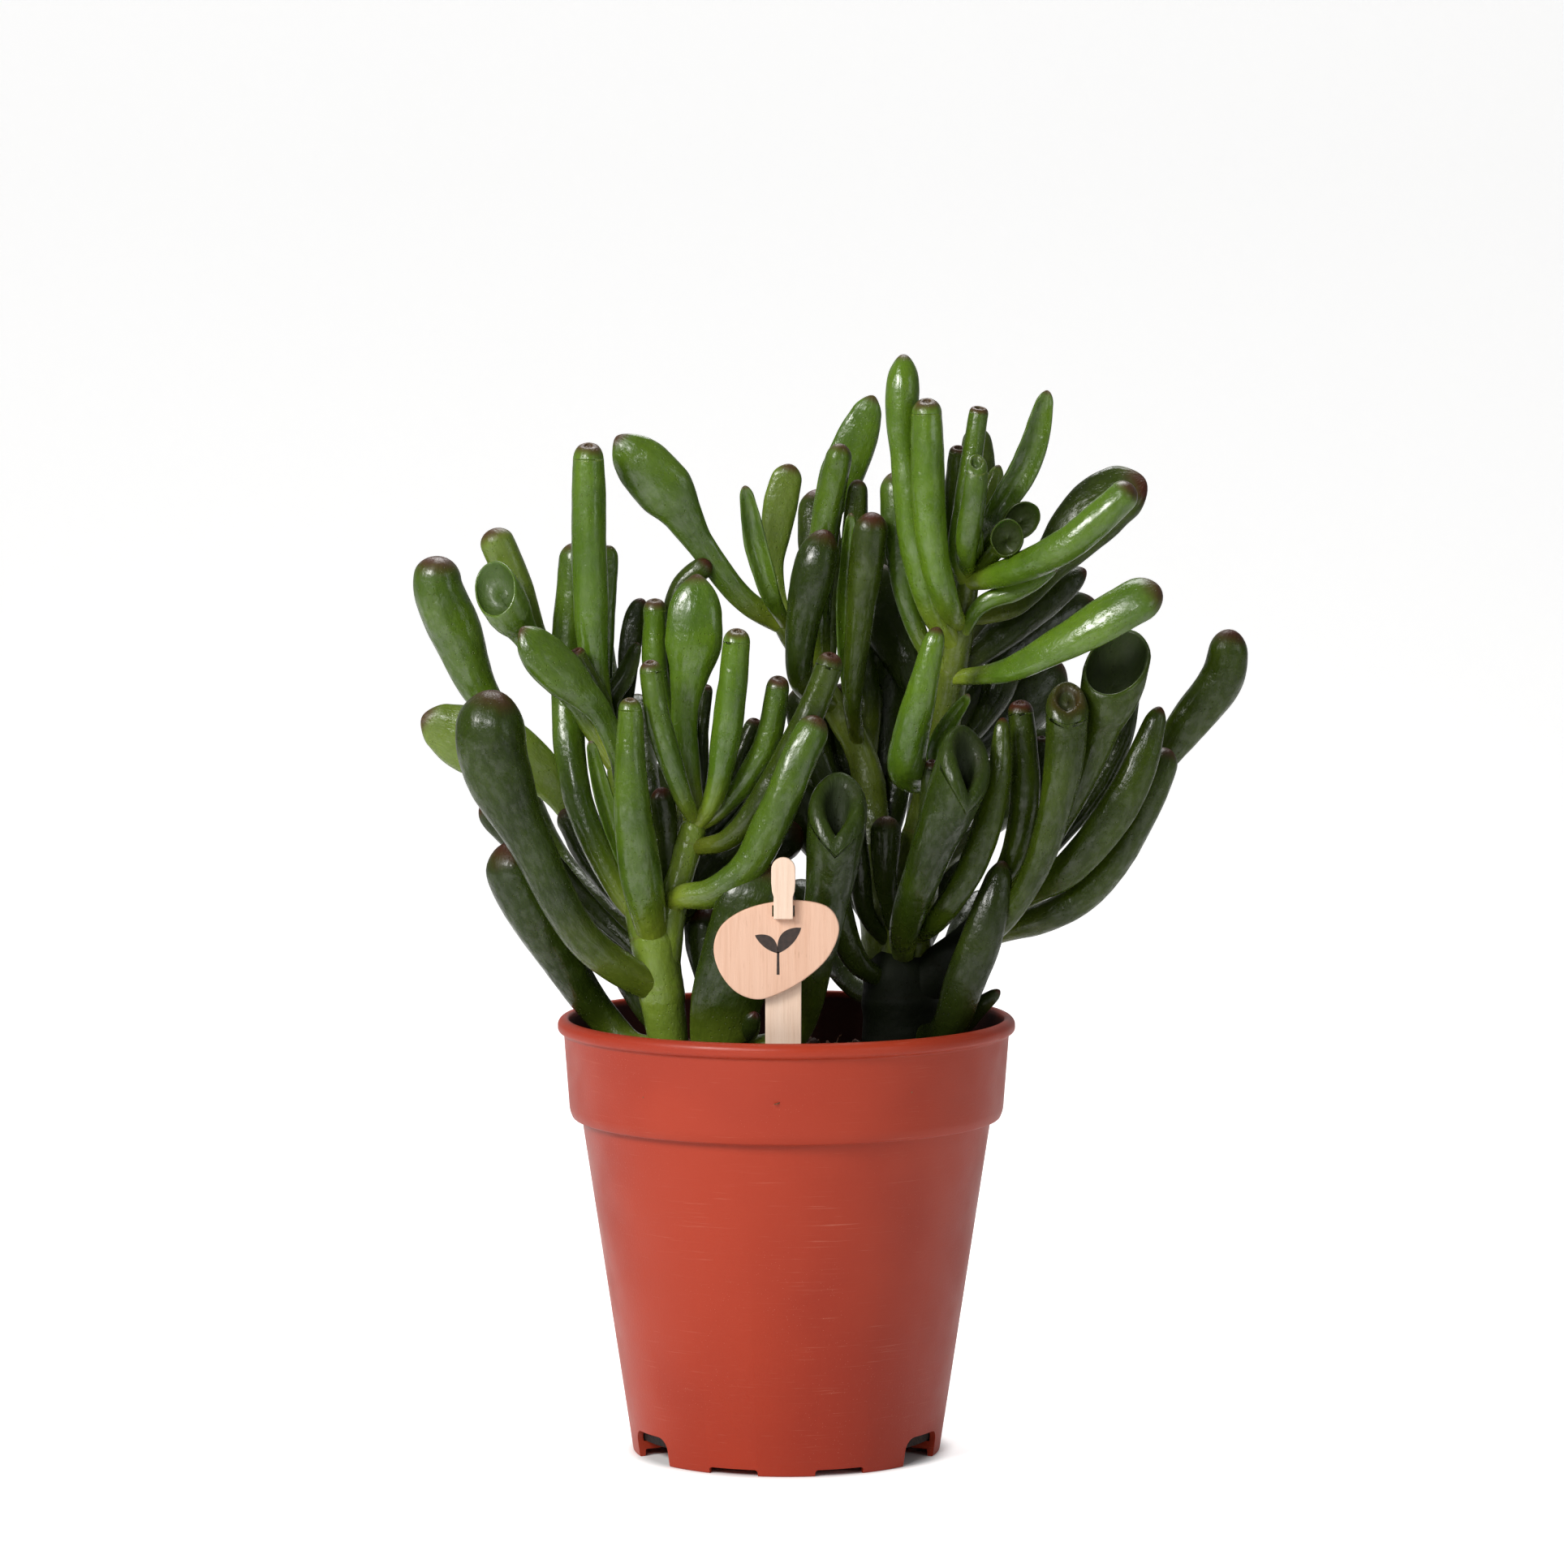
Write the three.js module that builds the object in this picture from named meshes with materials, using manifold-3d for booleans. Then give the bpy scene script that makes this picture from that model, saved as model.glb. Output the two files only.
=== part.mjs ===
// Potted jade plant with tubular leaves, in a plastic nursery pot with a wooden label on a stake.
// Millimetres, +Z up, origin on the pot's axis at the surface it stands on, front of the plant towards -Y.

import * as THREE from 'three';
import { mergeVertices } from 'three/addons/utils/BufferGeometryUtils.js';
import Module from 'manifold-3d';

const wasm = await Module();
wasm.setup();

// ---------------------------------------------------------------- driving dimensions

const CLEARANCE = 0.3; // gap kept between pieces that touch or pass through each other

// Pot
const POT_HEIGHT = 86;
const LIP_RADIUS = 45;
const LIP_HEIGHT = 3;
const BAND_TOP_RADIUS = 43.9;
const BAND_BOTTOM_RADIUS = 42.7;
const BAND_HEIGHT = 16.8;
const STEP_RADIUS = 40.3;
const STEP_HEIGHT = 1.6;
const BASE_RADIUS = 30.3;
const POT_WALL = 1.2;
const FLOOR_RAISE = 1.4; // hollow under the floor, inside the foot ring
const FLOOR_THICKNESS = 1.6;
const CENTRE_FOOT_RADIUS = 11;
const POT_SEGMENTS = 60;

// Drainage: three tall notches, with two shallow slots under the foot between each pair
const NOTCH_COUNT = 3;
const NOTCH_WIDTH = 12;
const NOTCH_HEIGHT = 5.6;
const NOTCH_CORNER = 2.4;
const NOTCH_DEPTH = 6; // how far the notch bites inwards from the foot's outside
const SLOT_WIDTH = 10;
const SLOT_HEIGHT = 1.3;
const SLOT_OFFSET = THREE.MathUtils.degToRad(20);

// Soil
const HEADSPACE = 10; // lip down to the soil at the wall
const SOIL_CROWN = 0.8;
const SOIL_SEGMENTS = 36;

// Stake and tag
const STAKE_WIDTH = 6.9;
const STAKE_THICKNESS = 1.4;
const STAKE_NECK_WIDTH = 3.7;
const STAKE_KNOB_WIDTH = 4.6;
const STAKE_TOP = 45; // above the soil
const STAKE_KNOB_LENGTH = 7.5;
const STAKE_SHOULDER = 32; // where the wide blade ends, above the soil
const STAKE_ROOT = 30; // below the soil
const STAKE_X = -0.6;
const TAG_Y = -36;
const TAG_THICKNESS = 1.5;
const TAG_SLIT = 34.6; // height of the slit above the soil
const TAG_SLIT_HEIGHT = 2.2;
const TAG_OUTLINE = [
  [-13.9, 27.5], [-12.6, 31.5], [-8.9, 34.4], [-3, 36.2], [3.8, 36.5], [8.4, 35], [10.1, 31.5],
  [8.4, 26.3], [4.2, 22], [-1, 18.9], [-5.4, 17.6], [-9.4, 18.9], [-12.7, 22.8],
];

// Stems: heights are above the soil, and each stem runs on below it
const STEM_ROOT = 14;
const STEM_SIDES = 10;
const STEM_ROWS_PER_SPAN = 3;

// Leaves
const LEAF_SIDES = 8;
const LONG_SPAN = 0.15; // share of the leaf's length between rows, above which a row is added

// ---------------------------------------------------------------- worked-out heights and radii

const SOIL_TOP = POT_HEIGHT - HEADSPACE;
const BAND_BOTTOM = POT_HEIGHT - LIP_HEIGHT - BAND_HEIGHT;
const FLOOR_TOP = FLOOR_RAISE + FLOOR_THICKNESS;

// ---------------------------------------------------------------- solids

/** Turn a closed three.js geometry into a solid that can be joined and cut. */
function solidOf(geometry) {
  const bare = geometry.clone();
  bare.deleteAttribute('normal');
  bare.deleteAttribute('uv');
  const merged = mergeVertices(bare, 1e-4);
  const vertProperties = Float32Array.from(merged.attributes.position.array);
  const triVerts = Uint32Array.from(merged.index.array);
  return new wasm.Manifold(new wasm.Mesh({ numProp: 3, vertProperties, triVerts }));
}

/** Turn a solid back into a geometry. */
function geometryOf(solid) {
  const mesh = solid.getMesh();
  const positions = new Float32Array(mesh.numVert * 3);
  for (let vertex = 0; vertex < mesh.numVert; vertex += 1) {
    for (let axis = 0; axis < 3; axis += 1) {
      positions[vertex * 3 + axis] = mesh.vertProperties[vertex * mesh.numProp + axis];
    }
  }
  const geometry = new THREE.BufferGeometry();
  geometry.setAttribute('position', new THREE.BufferAttribute(positions, 3));
  geometry.setIndex(new THREE.BufferAttribute(Uint32Array.from(mesh.triVerts), 1));
  geometry.computeVertexNormals();
  return geometry;
}

/** The largest separate body of a solid, which is what is left of a leaf once its base is trimmed. */
function mainBody(solid) {
  const bodies = solid.decompose();
  return bodies.reduce((best, body) => (body.volume() > best.volume() ? body : best));
}

/** Whether two solids' boxes meet. */
function boxesMeet(first, second) {
  const a = first.boundingBox();
  const b = second.boundingBox();
  return [0, 1, 2].every((axis) => a.min[axis] < b.max[axis] && b.min[axis] < a.max[axis]);
}

const plant = new THREE.Group();

/** Add one named piece with its own finish to a group. */
function addPiece(group, name, geometry, colour, roughness) {
  const material = new THREE.MeshStandardMaterial({ color: colour, roughness, metalness: 0 });
  const mesh = new THREE.Mesh(geometry, material);
  mesh.name = name;
  group.add(mesh);
}

// ---------------------------------------------------------------- lofts along a curve

/**
 * A closed form with elliptical rings along a curve.
 * rows: [along from 0 to 1, width factor] from end to end, with a factor of 0 at both ends.
 * width and thickness are full sizes; face is the way that the flatter side looks.
 * slant lowers the far rows on the face's side, and groove dishes that side.
 */
function loft({ curve, rows, width, thickness, face, sides, grow = 0, slant = 0, groove = 0 }) {
  const geometry = new THREE.SphereGeometry(1, sides, rows.length - 1);
  const position = geometry.attributes.position;
  const length = curve.getLength();
  const rim = rows.findIndex((row, index) => index > 0 && row[0] < rows[index - 1][0]);
  rows.forEach(([along, factor], rowIndex) => {
    const beyondRim = rim > 0 && rowIndex >= rim;
    const isEnd = rowIndex === 0 || rowIndex === rows.length - 1;
    const atStart = rowIndex < rows.length / 2;
    const at = grow > 0 && beyondRim ? 1 : along;
    const centre = curve.getPointAt(THREE.MathUtils.clamp(at, 0, 1));
    const tangent = curve.getTangentAt(THREE.MathUtils.clamp(at, 0, 1));
    const thicknessAxis = face.clone().addScaledVector(tangent, -face.dot(tangent)).normalize();
    const widthAxis = thicknessAxis.clone().cross(tangent);
    if (isEnd || (grow > 0 && beyondRim)) centre.addScaledVector(tangent, atStart ? -grow : grow);
    const ringGrow = isEnd ? 0 : grow;
    const lean = slant * length * THREE.MathUtils.smoothstep(along, 0.6, 1) * Math.min(1, factor * 1.2);
    for (let side = 0; side <= sides; side += 1) {
      const angle = (side / sides) * 2 * Math.PI;
      const acrossWidth = -Math.cos(angle) * ((width / 2) * factor + ringGrow);
      const inward = Math.max(0, Math.sin(angle));
      const hollow = 1 - groove * inward * (grow > 0 ? 0 : 1);
      const acrossThickness = Math.sin(angle) * ((thickness / 2) * factor * hollow + ringGrow);
      const point = centre.clone();
      point.addScaledVector(widthAxis, acrossWidth);
      point.addScaledVector(thicknessAxis, acrossThickness);
      point.addScaledVector(tangent, -lean * (1 + Math.sin(angle)));
      position.setXYZ(rowIndex * (sides + 1) + side, point.x, point.y, point.z);
    }
  });
  return geometry;
}

// ---------------------------------------------------------------- pot

function potOutline() {
  const outside = [
    [0, 0], [CENTRE_FOOT_RADIUS, 0], [CENTRE_FOOT_RADIUS, FLOOR_RAISE],
    [BASE_RADIUS - POT_WALL, FLOOR_RAISE], [BASE_RADIUS - POT_WALL, 0], [BASE_RADIUS, 0],
    [STEP_RADIUS, BAND_BOTTOM],
    [BAND_BOTTOM_RADIUS - POT_WALL / 2, BAND_BOTTOM],
    [BAND_BOTTOM_RADIUS, BAND_BOTTOM + STEP_HEIGHT],
    [BAND_TOP_RADIUS, POT_HEIGHT - LIP_HEIGHT],
    [LIP_RADIUS, POT_HEIGHT - LIP_HEIGHT * 0.75],
    [LIP_RADIUS, POT_HEIGHT - LIP_HEIGHT * 0.25],
    [LIP_RADIUS - LIP_HEIGHT * 0.25, POT_HEIGHT],
  ];
  const inside = [
    [BAND_TOP_RADIUS - POT_WALL, POT_HEIGHT],
    ...innerWall(0),
    [0, FLOOR_TOP],
  ];
  return [...outside, ...inside];
}

/** The inside of the wall from under the lip down to the floor, moved inwards by a gap. */
function innerWall(gap) {
  const stepRadius = STEP_RADIUS - POT_WALL;
  const slope = (STEP_RADIUS - BASE_RADIUS) / BAND_BOTTOM;
  return [
    [BAND_BOTTOM_RADIUS - POT_WALL - gap, BAND_BOTTOM + STEP_HEIGHT + gap],
    [stepRadius - gap, BAND_BOTTOM + gap],
    [stepRadius - gap - slope * (BAND_BOTTOM - FLOOR_TOP), FLOOR_TOP + gap],
  ];
}

function lathe(outline, segments) {
  const points = outline.map(([radius, height]) => new THREE.Vector2(radius, height));
  const geometry = new THREE.LatheGeometry(points, segments);
  geometry.rotateX(Math.PI / 2);
  return geometry;
}

/** An upright arch-topped bar that cuts through the foot from outside, at an angle around the pot. */
function footCutter(angle, width, height, corner, depth) {
  const arch = new THREE.Shape();
  arch.moveTo(-width / 2, -1);
  arch.lineTo(width / 2, -1);
  arch.lineTo(width / 2, height - corner);
  arch.quadraticCurveTo(width / 2, height, width / 2 - corner, height);
  arch.lineTo(-width / 2 + corner, height);
  arch.quadraticCurveTo(-width / 2, height, -width / 2, height - corner);
  const options = { depth: depth + POT_WALL * 2, bevelEnabled: false, curveSegments: 3 };
  const geometry = new THREE.ExtrudeGeometry(arch, options);
  geometry.rotateX(Math.PI / 2);
  geometry.translate(0, -(BASE_RADIUS - depth), 0);
  geometry.rotateZ(angle);
  return solidOf(geometry);
}

function makePot() {
  let pot = solidOf(lathe(potOutline(), POT_SEGMENTS));
  const pitch = (2 * Math.PI) / NOTCH_COUNT;
  for (let index = 0; index < NOTCH_COUNT; index += 1) {
    const middle = index * pitch;
    const notchAngle = middle + pitch / 2;
    pot = pot.subtract(footCutter(notchAngle, NOTCH_WIDTH, NOTCH_HEIGHT, NOTCH_CORNER, NOTCH_DEPTH));
    for (const angle of [middle - SLOT_OFFSET, middle + SLOT_OFFSET]) {
      pot = pot.subtract(footCutter(angle, SLOT_WIDTH, SLOT_HEIGHT, SLOT_HEIGHT / 2, POT_WALL * 2));
    }
  }
  return geometryOf(pot);
}

addPiece(plant, 'pot', makePot(), 0xb9482f, 0.42);

// ---------------------------------------------------------------- stems

const above = (x, y, height) => new THREE.Vector3(x, y, SOIL_TOP + height);

/** A stem: its centre line, the radius at each point of it, and the heights of its leaf rings. */
function stem(points, radii, rooted) {
  const line = points.map((point) => above(...point));
  if (rooted) line.unshift(line[0].clone().setZ(SOIL_TOP - STEM_ROOT));
  const curve = new THREE.CatmullRomCurve3(line, false, 'centripetal');
  return { curve, radii: rooted ? [radii[0], ...radii] : radii };
}

const STEMS = {
  left: stem([[-22.4, -12, 0], [-24, -12, 14], [-25.5, -11, 25], [-29, -8, 40], [-33, -5, 61]],
    [3.8, 4.3, 4.6, 3.2, 2.4], true),
  side: stem([[-24, -12, 19], [-22.2, -11, 33], [-19.5, -9.5, 43], [-17.6, -9, 50]],
    [3.2, 2.9, 2.7, 2.5], false),
  right: stem([[22.8, 4, 0], [22.8, 4, 12], [22, 4, 24]], [7.4, 7.8, 7], true),
  upper: stem([[22.5, 4, 16], [26, 5, 40], [30, 4, 61], [33.2, 2, 80], [35.8, 1, 97.5]],
    [5.5, 4.6, 3.4, 2.8, 2.2], false),
  offshoot: stem([[25, 2, 14], [31, 1, 20.5], [36.5, 0.5, 25.5], [40, 1, 31]],
    [4.6, 4, 3.4, 2.6], false),
  centre: stem([[20, 6, 16], [17.8, 9, 40], [15, 12, 60], [7, 13, 74], [-1, 11, 87.5]],
    [5, 4, 3.2, 2.7, 2.2], false),
  front: stem([[-8, -15, 0], [-8.3, -15, 9]], [3.2, 2.6], true),
};

/** The solid of one stem, thicker by grow all round. */
function stemSolid({ curve, radii }, grow = 0) {
  const spans = (radii.length - 1) * STEM_ROWS_PER_SPAN;
  const widest = Math.max(...radii);
  const rows = [[0, 0]];
  for (let row = 0; row <= spans; row += 1) {
    const along = row / spans;
    const span = Math.min(radii.length - 2, Math.floor(along * (radii.length - 1)));
    const radius = THREE.MathUtils.lerp(radii[span], radii[span + 1], along * (radii.length - 1) - span);
    const rounded = row === spans ? 0.8 : 1;
    rows.push([THREE.MathUtils.lerp(0.001, 0.985, along), (radius * rounded) / widest]);
  }
  rows.push([1, 0]);
  const size = widest * 2;
  const face = new THREE.Vector3(0, -1, 0);
  return solidOf(loft({ curve, rows, width: size, thickness: size, face, sides: STEM_SIDES, grow }));
}

/** The point on a stem's centre line at a height above the soil. */
function onStem(name, height) {
  const { curve } = STEMS[name];
  const steps = 60;
  let best = curve.getPointAt(0);
  for (let step = 1; step <= steps; step += 1) {
    const point = curve.getPointAt(step / steps);
    if (Math.abs(point.z - SOIL_TOP - height) < Math.abs(best.z - SOIL_TOP - height)) best = point;
  }
  return best;
}

const STEM_PIECES = {
  left_stem: ['left', 'side'],
  right_stem: ['right', 'upper', 'offshoot', 'centre'],
  front_stem: ['front'],
};
const STEM_COLOURS = { left_stem: 0x8fa650, right_stem: 0x4d5a28, front_stem: 0x5b6a34 };

function joined(names, grow) {
  return names.map((name) => stemSolid(STEMS[name], grow)).reduce((a, b) => a.add(b));
}

const grownStems = [];
for (const [name, members] of Object.entries(STEM_PIECES)) {
  addPiece(plant, name, geometryOf(joined(members, 0)), STEM_COLOURS[name], 0.5);
  grownStems.push(joined(members, CLEARANCE));
}

// ---------------------------------------------------------------- stake and tag

function slab(shape, front, thickness) {
  const options = { depth: thickness, bevelEnabled: false, curveSegments: 5 };
  const geometry = new THREE.ExtrudeGeometry(shape, options);
  geometry.rotateX(Math.PI / 2);
  geometry.translate(0, front + thickness, 0);
  return solidOf(geometry);
}

const TAG_FRONT = TAG_Y - TAG_THICKNESS / 2;
const TAG_BACK = TAG_Y + TAG_THICKNESS / 2;

function stakeBlade() {
  const shape = new THREE.Shape();
  const half = STAKE_WIDTH / 2;
  const neck = STAKE_NECK_WIDTH / 2;
  const root = SOIL_TOP - STAKE_ROOT;
  const shoulder = SOIL_TOP + STAKE_SHOULDER;
  shape.moveTo(STAKE_X - half, root + half);
  shape.quadraticCurveTo(STAKE_X, root - half, STAKE_X + half, root + half);
  shape.lineTo(STAKE_X + half, shoulder - 2);
  shape.lineTo(STAKE_X + neck, shoulder);
  shape.lineTo(STAKE_X + neck, SOIL_TOP + TAG_SLIT + TAG_SLIT_HEIGHT / 2 - CLEARANCE);
  shape.lineTo(STAKE_X - neck, SOIL_TOP + TAG_SLIT + TAG_SLIT_HEIGHT / 2 - CLEARANCE);
  shape.lineTo(STAKE_X - neck, shoulder);
  shape.lineTo(STAKE_X - half, shoulder - 2);
  return slab(shape, TAG_BACK + CLEARANCE, STAKE_THICKNESS);
}

function stakeKnob() {
  const shape = new THREE.Shape();
  const neck = STAKE_NECK_WIDTH / 2;
  const knob = STAKE_KNOB_WIDTH / 2;
  const top = SOIL_TOP + STAKE_TOP;
  const knobStart = top - STAKE_KNOB_LENGTH;
  const bottom = SOIL_TOP + TAG_SLIT - TAG_SLIT_HEIGHT / 2 + CLEARANCE;
  shape.moveTo(STAKE_X - neck, bottom);
  shape.lineTo(STAKE_X + neck, bottom);
  shape.lineTo(STAKE_X + neck, knobStart);
  shape.quadraticCurveTo(STAKE_X + knob, knobStart + 1, STAKE_X + knob, knobStart + 3);
  shape.absarc(STAKE_X, top - knob, knob, 0, Math.PI, false);
  shape.lineTo(STAKE_X - knob, knobStart + 3);
  shape.quadraticCurveTo(STAKE_X - knob, knobStart + 1, STAKE_X - neck, knobStart);
  return slab(shape, TAG_FRONT - CLEARANCE - STAKE_THICKNESS, STAKE_THICKNESS);
}

/** The bend of the stick's thin top through the tag's slit. */
function stakeBridge(grow = 0) {
  const depth = TAG_THICKNESS + 2 * (CLEARANCE + STAKE_THICKNESS);
  const height = TAG_SLIT_HEIGHT - 2 * CLEARANCE + 2 * grow;
  const bridge = new THREE.BoxGeometry(STAKE_NECK_WIDTH + 2 * grow, depth, height);
  bridge.translate(STAKE_X, TAG_Y, SOIL_TOP + TAG_SLIT);
  return solidOf(bridge);
}

function makeTag() {
  const outline = TAG_OUTLINE.map(([x, height]) => new THREE.Vector3(x, SOIL_TOP + height, 0));
  const edge = new THREE.CatmullRomCurve3(outline, true, 'centripetal');
  const points = edge.getSpacedPoints(36).slice(0, -1).map((point) => new THREE.Vector2(point.x, point.y));
  return slab(new THREE.Shape(points), TAG_FRONT, TAG_THICKNESS).subtract(stakeBridge(CLEARANCE));
}

const stake = stakeBlade().add(stakeKnob()).add(stakeBridge());
addPiece(plant, 'label_stake', geometryOf(stake), 0xf0dcc4, 0.7);
addPiece(plant, 'label_tag', geometryOf(makeTag()), 0xe6bfa2, 0.7);

// ---------------------------------------------------------------- soil

function makeSoil() {
  const wall = innerWall(CLEARANCE);
  const topRadius = THREE.MathUtils.lerp(BAND_BOTTOM_RADIUS, BAND_TOP_RADIUS,
    (SOIL_TOP - BAND_BOTTOM) / BAND_HEIGHT) - POT_WALL - CLEARANCE;
  const outline = [
    [0, FLOOR_TOP + CLEARANCE],
    ...wall.reverse(),
    [topRadius, SOIL_TOP - SOIL_CROWN],
    [topRadius * 0.7, SOIL_TOP],
    [0, SOIL_TOP],
  ];
  let soil = solidOf(lathe(outline, SOIL_SEGMENTS));
  for (const grown of grownStems) soil = soil.subtract(grown);
  const socketWidth = STAKE_WIDTH + 2 * CLEARANCE;
  const socketDepth = STAKE_THICKNESS + 2 * CLEARANCE;
  const socket = new THREE.BoxGeometry(socketWidth, socketDepth, STAKE_ROOT * 2);
  socket.translate(STAKE_X, TAG_BACK + CLEARANCE + STAKE_THICKNESS / 2, SOIL_TOP - CLEARANCE);
  return geometryOf(soil.subtract(solidOf(socket)));
}

addPiece(plant, 'soil', makeSoil(), 0x2a1d16, 0.95);

// ---------------------------------------------------------------- leaf forms

// Each row is [how far along the leaf, width as a share of the widest], from base to tip. A row that
// steps back from the one before it goes down into the hollow of the tip.
const FORMS = {
  finger: {
    rows: [[0, 0], [0.015, 0.5], [0.12, 0.62], [0.32, 0.82], [0.55, 1], [0.8, 0.92], [0.95, 0.82],
      [1, 0.58], [0.988, 0.3], [0.98, 0]],
  },
  club: {
    rows: [[0, 0], [0.015, 0.4], [0.12, 0.48], [0.35, 0.62], [0.6, 0.82], [0.82, 1], [0.93, 0.82],
      [0.985, 0.42], [1, 0]],
  },
  paddle: {
    rows: [[0, 0], [0.015, 0.38], [0.15, 0.42], [0.4, 0.55], [0.62, 0.88], [0.77, 1], [0.9, 0.76],
      [0.975, 0.34], [1, 0]],
  },
  spoon: {
    rows: [[0, 0], [0.015, 0.36], [0.15, 0.41], [0.4, 0.45], [0.58, 0.55], [0.73, 0.82], [0.84, 1],
      [0.93, 0.84], [0.98, 0.46], [1, 0]],
  },
  blade: {
    rows: [[0, 0], [0.015, 0.5], [0.15, 0.6], [0.4, 0.88], [0.62, 1], [0.8, 0.82], [0.93, 0.46],
      [0.98, 0.2], [1, 0]],
  },
  folded: {
    groove: 0.75,
    rows: [[0, 0], [0.015, 0.55], [0.15, 0.66], [0.4, 0.9], [0.62, 1], [0.8, 0.86], [0.93, 0.54],
      [0.98, 0.26], [1, 0]],
  },
  tube: {
    rows: [[0, 0], [0.015, 0.5], [0.12, 0.68], [0.35, 0.9], [0.6, 1], [0.82, 0.95], [0.93, 0.78],
      [0.985, 0.42], [1, 0]],
  },
  ladle: {
    rows: [[0, 0], [0.015, 0.38], [0.2, 0.42], [0.45, 0.48], [0.6, 0.7], [0.73, 1], [0.84, 0.93],
      [0.94, 0.58], [0.985, 0.28], [1, 0]],
  },
  knob: {
    rows: [[0, 0], [0.015, 0.42], [0.15, 0.51], [0.4, 0.56], [0.6, 0.65], [0.77, 0.95], [0.87, 1],
      [0.96, 0.6], [1, 0]],
  },
  spire: {
    rows: [[0, 0], [0.015, 0.55], [0.12, 0.8], [0.35, 1], [0.6, 0.87], [0.8, 0.7], [0.94, 0.52],
      [0.985, 0.3], [1, 0]],
  },
  waisted: {
    rows: [[0, 0], [0.015, 0.5], [0.12, 0.72], [0.35, 0.96], [0.55, 0.88], [0.67, 0.8], [0.8, 0.98],
      [0.88, 0.94], [0.95, 0.62], [0.985, 0.3], [1, 0]],
  },
  cup: {
    slant: 0.05,
    rows: [[0, 0], [0.015, 0.38], [0.14, 0.42], [0.45, 0.48], [0.7, 0.6], [0.86, 0.92], [0.95, 1],
      [1, 0.86], [0.95, 0.52], [0.9, 0]],
  },
  trumpet: {
    slant: 0.06,
    rows: [[0, 0], [0.015, 0.42], [0.14, 0.48], [0.38, 0.6], [0.62, 0.76], [0.85, 0.96], [0.96, 1],
      [1, 0.86], [0.95, 0.55], [0.88, 0]],
  },
};

const FRONT = [0, -1, 0];
const FRONT_AND_LEFT = [-0.35, -0.94, 0];
const FRONT_AND_RIGHT = [0.5, -0.87, 0];
const FRONT_UP = [0, -0.8, 0.6];
const BACK = [0, 1, 0.3];

// Leaves, front ones first in each group. Each row is: stem, height of the base on it, form, width,
// thickness as a share of the width, the way the inner face looks, and the points that the leaf
// passes through from base to tip, the last being its tip (x, y, height above the soil).
const LEFT_LEAVES = [
  ['left', 16, 'knob', 13.4, 0.92, FRONT, [[-34, -17, 22.5], [-40.5, -20, 29.3], [-49.2, -23, 46.2],
    [-56.6, -24, 64], [-56.4, -24, 76]]],
  ['left', 5, 'club', 10.8, 0.92, FRONT, [[-30.5, -5, 5], [-35.6, -3, 9.5], [-43, -7, 20.5],
    [-51.8, -13, 37], [-54.6, -14, 45.5]]],
  ['left', 24, 'spire', 8.2, 0.9, FRONT, [[-27.5, -17, 36], [-29.7, -20, 52], [-30.2, -20, 74.2]]],
  ['left', 50, 'ladle', 9.8, 0.6, FRONT_UP, [[-32.3, -12, 62], [-36.2, -14, 71], [-40.5, -15, 75.8],
    [-46, -16, 81], [-51.2, -17, 87.6]]],
  ['left', 60, 'finger', 7, 1, FRONT, [[-36.8, -5, 74], [-38.2, -6, 95], [-38.5, -6, 122.9]]],
  ['left', 28, 'tube', 6.4, 0.95, FRONT, [[-33, -9, 36], [-41, -5, 54.5], [-43, 1, 76], [-41.5, 3, 103]]],
  ['left', 58, 'cup', 9.4, 0.95, FRONT_AND_LEFT, [[-40, -3, 70], [-47.5, -6, 80.5], [-54, -8, 90.5],
    [-58.8, -10, 98]]],
  ['left', 55, 'club', 6.9, 0.8, FRONT, [[-38.5, 2, 71], [-47.8, 3, 80.5], [-51.8, 3, 90], [-54.6, 3, 98],
    [-57.9, 3, 105.7]]],
  ['left', 36, 'spoon', 10.4, 0.9, FRONT, [[-40.5, 5, 47], [-51, 7, 61], [-60.4, 8, 73.5], [-64.6, 8, 84],
    [-68.6, 8, 94], [-68.4, 8, 100.2]]],
  ['left', 34, 'ladle', 13.6, 0.4, FRONT, [[-41, 0, 50], [-51, 0, 60], [-60, 0, 63.5], [-71.5, 0, 69]]],
  ['side', 49, 'finger', 5, 1, FRONT, [[-19.6, -14, 53.3], [-24.4, -16, 68], [-26.5, -16, 81.2]]],
  ['side', 49, 'ladle', 11.4, 0.6, FRONT, [[-19, -7, 57], [-19.8, -7, 67.5], [-18.3, -6, 83],
    [-17.3, -5, 97.3]]],
  ['side', 48, 'finger', 6, 1, FRONT, [[-14.2, -12, 54], [-11.2, -14, 70], [-9.4, -14, 87.2]]],
  ['side', 48, 'finger', 5.2, 1, FRONT, [[-12.8, -9, 51.5], [-4.5, -10, 63], [-1.2, -10, 77.7]]],
  ['side', 33, 'tube', 7.4, 0.95, FRONT, [[-20.5, -15, 35], [-14.6, -18, 36.2], [-7.7, -20, 41],
    [-2.9, -21, 50], [2.1, -21, 61.7], [6.3, -20, 70.6]]],
  ['side', 44, 'finger', 6, 0.95, FRONT, [[-11, -14, 46.5], [-1.5, -16, 59], [5.6, -16, 73],
    [9, -16, 82.6]]],
  ['side', 49, 'finger', 5.2, 1, FRONT, [[-21.5, -3, 62], [-25.4, -1, 76], [-25.8, 0, 92.3]]],
  ['left', 22, 'club', 8.4, 0.9, BACK, [[-36, 4, 31], [-45, 14, 38], [-53, 22, 50], [-56, 26, 60]]],
  ['left', 52, 'finger', 7, 0.95, BACK, [[-34, 8, 66], [-37, 20, 77], [-39.5, 28, 90]]],
  ['side', 38, 'club', 8.4, 0.9, BACK, [[-20.5, 0, 42], [-22, 16, 47], [-24, 31, 57]]],
];

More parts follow.
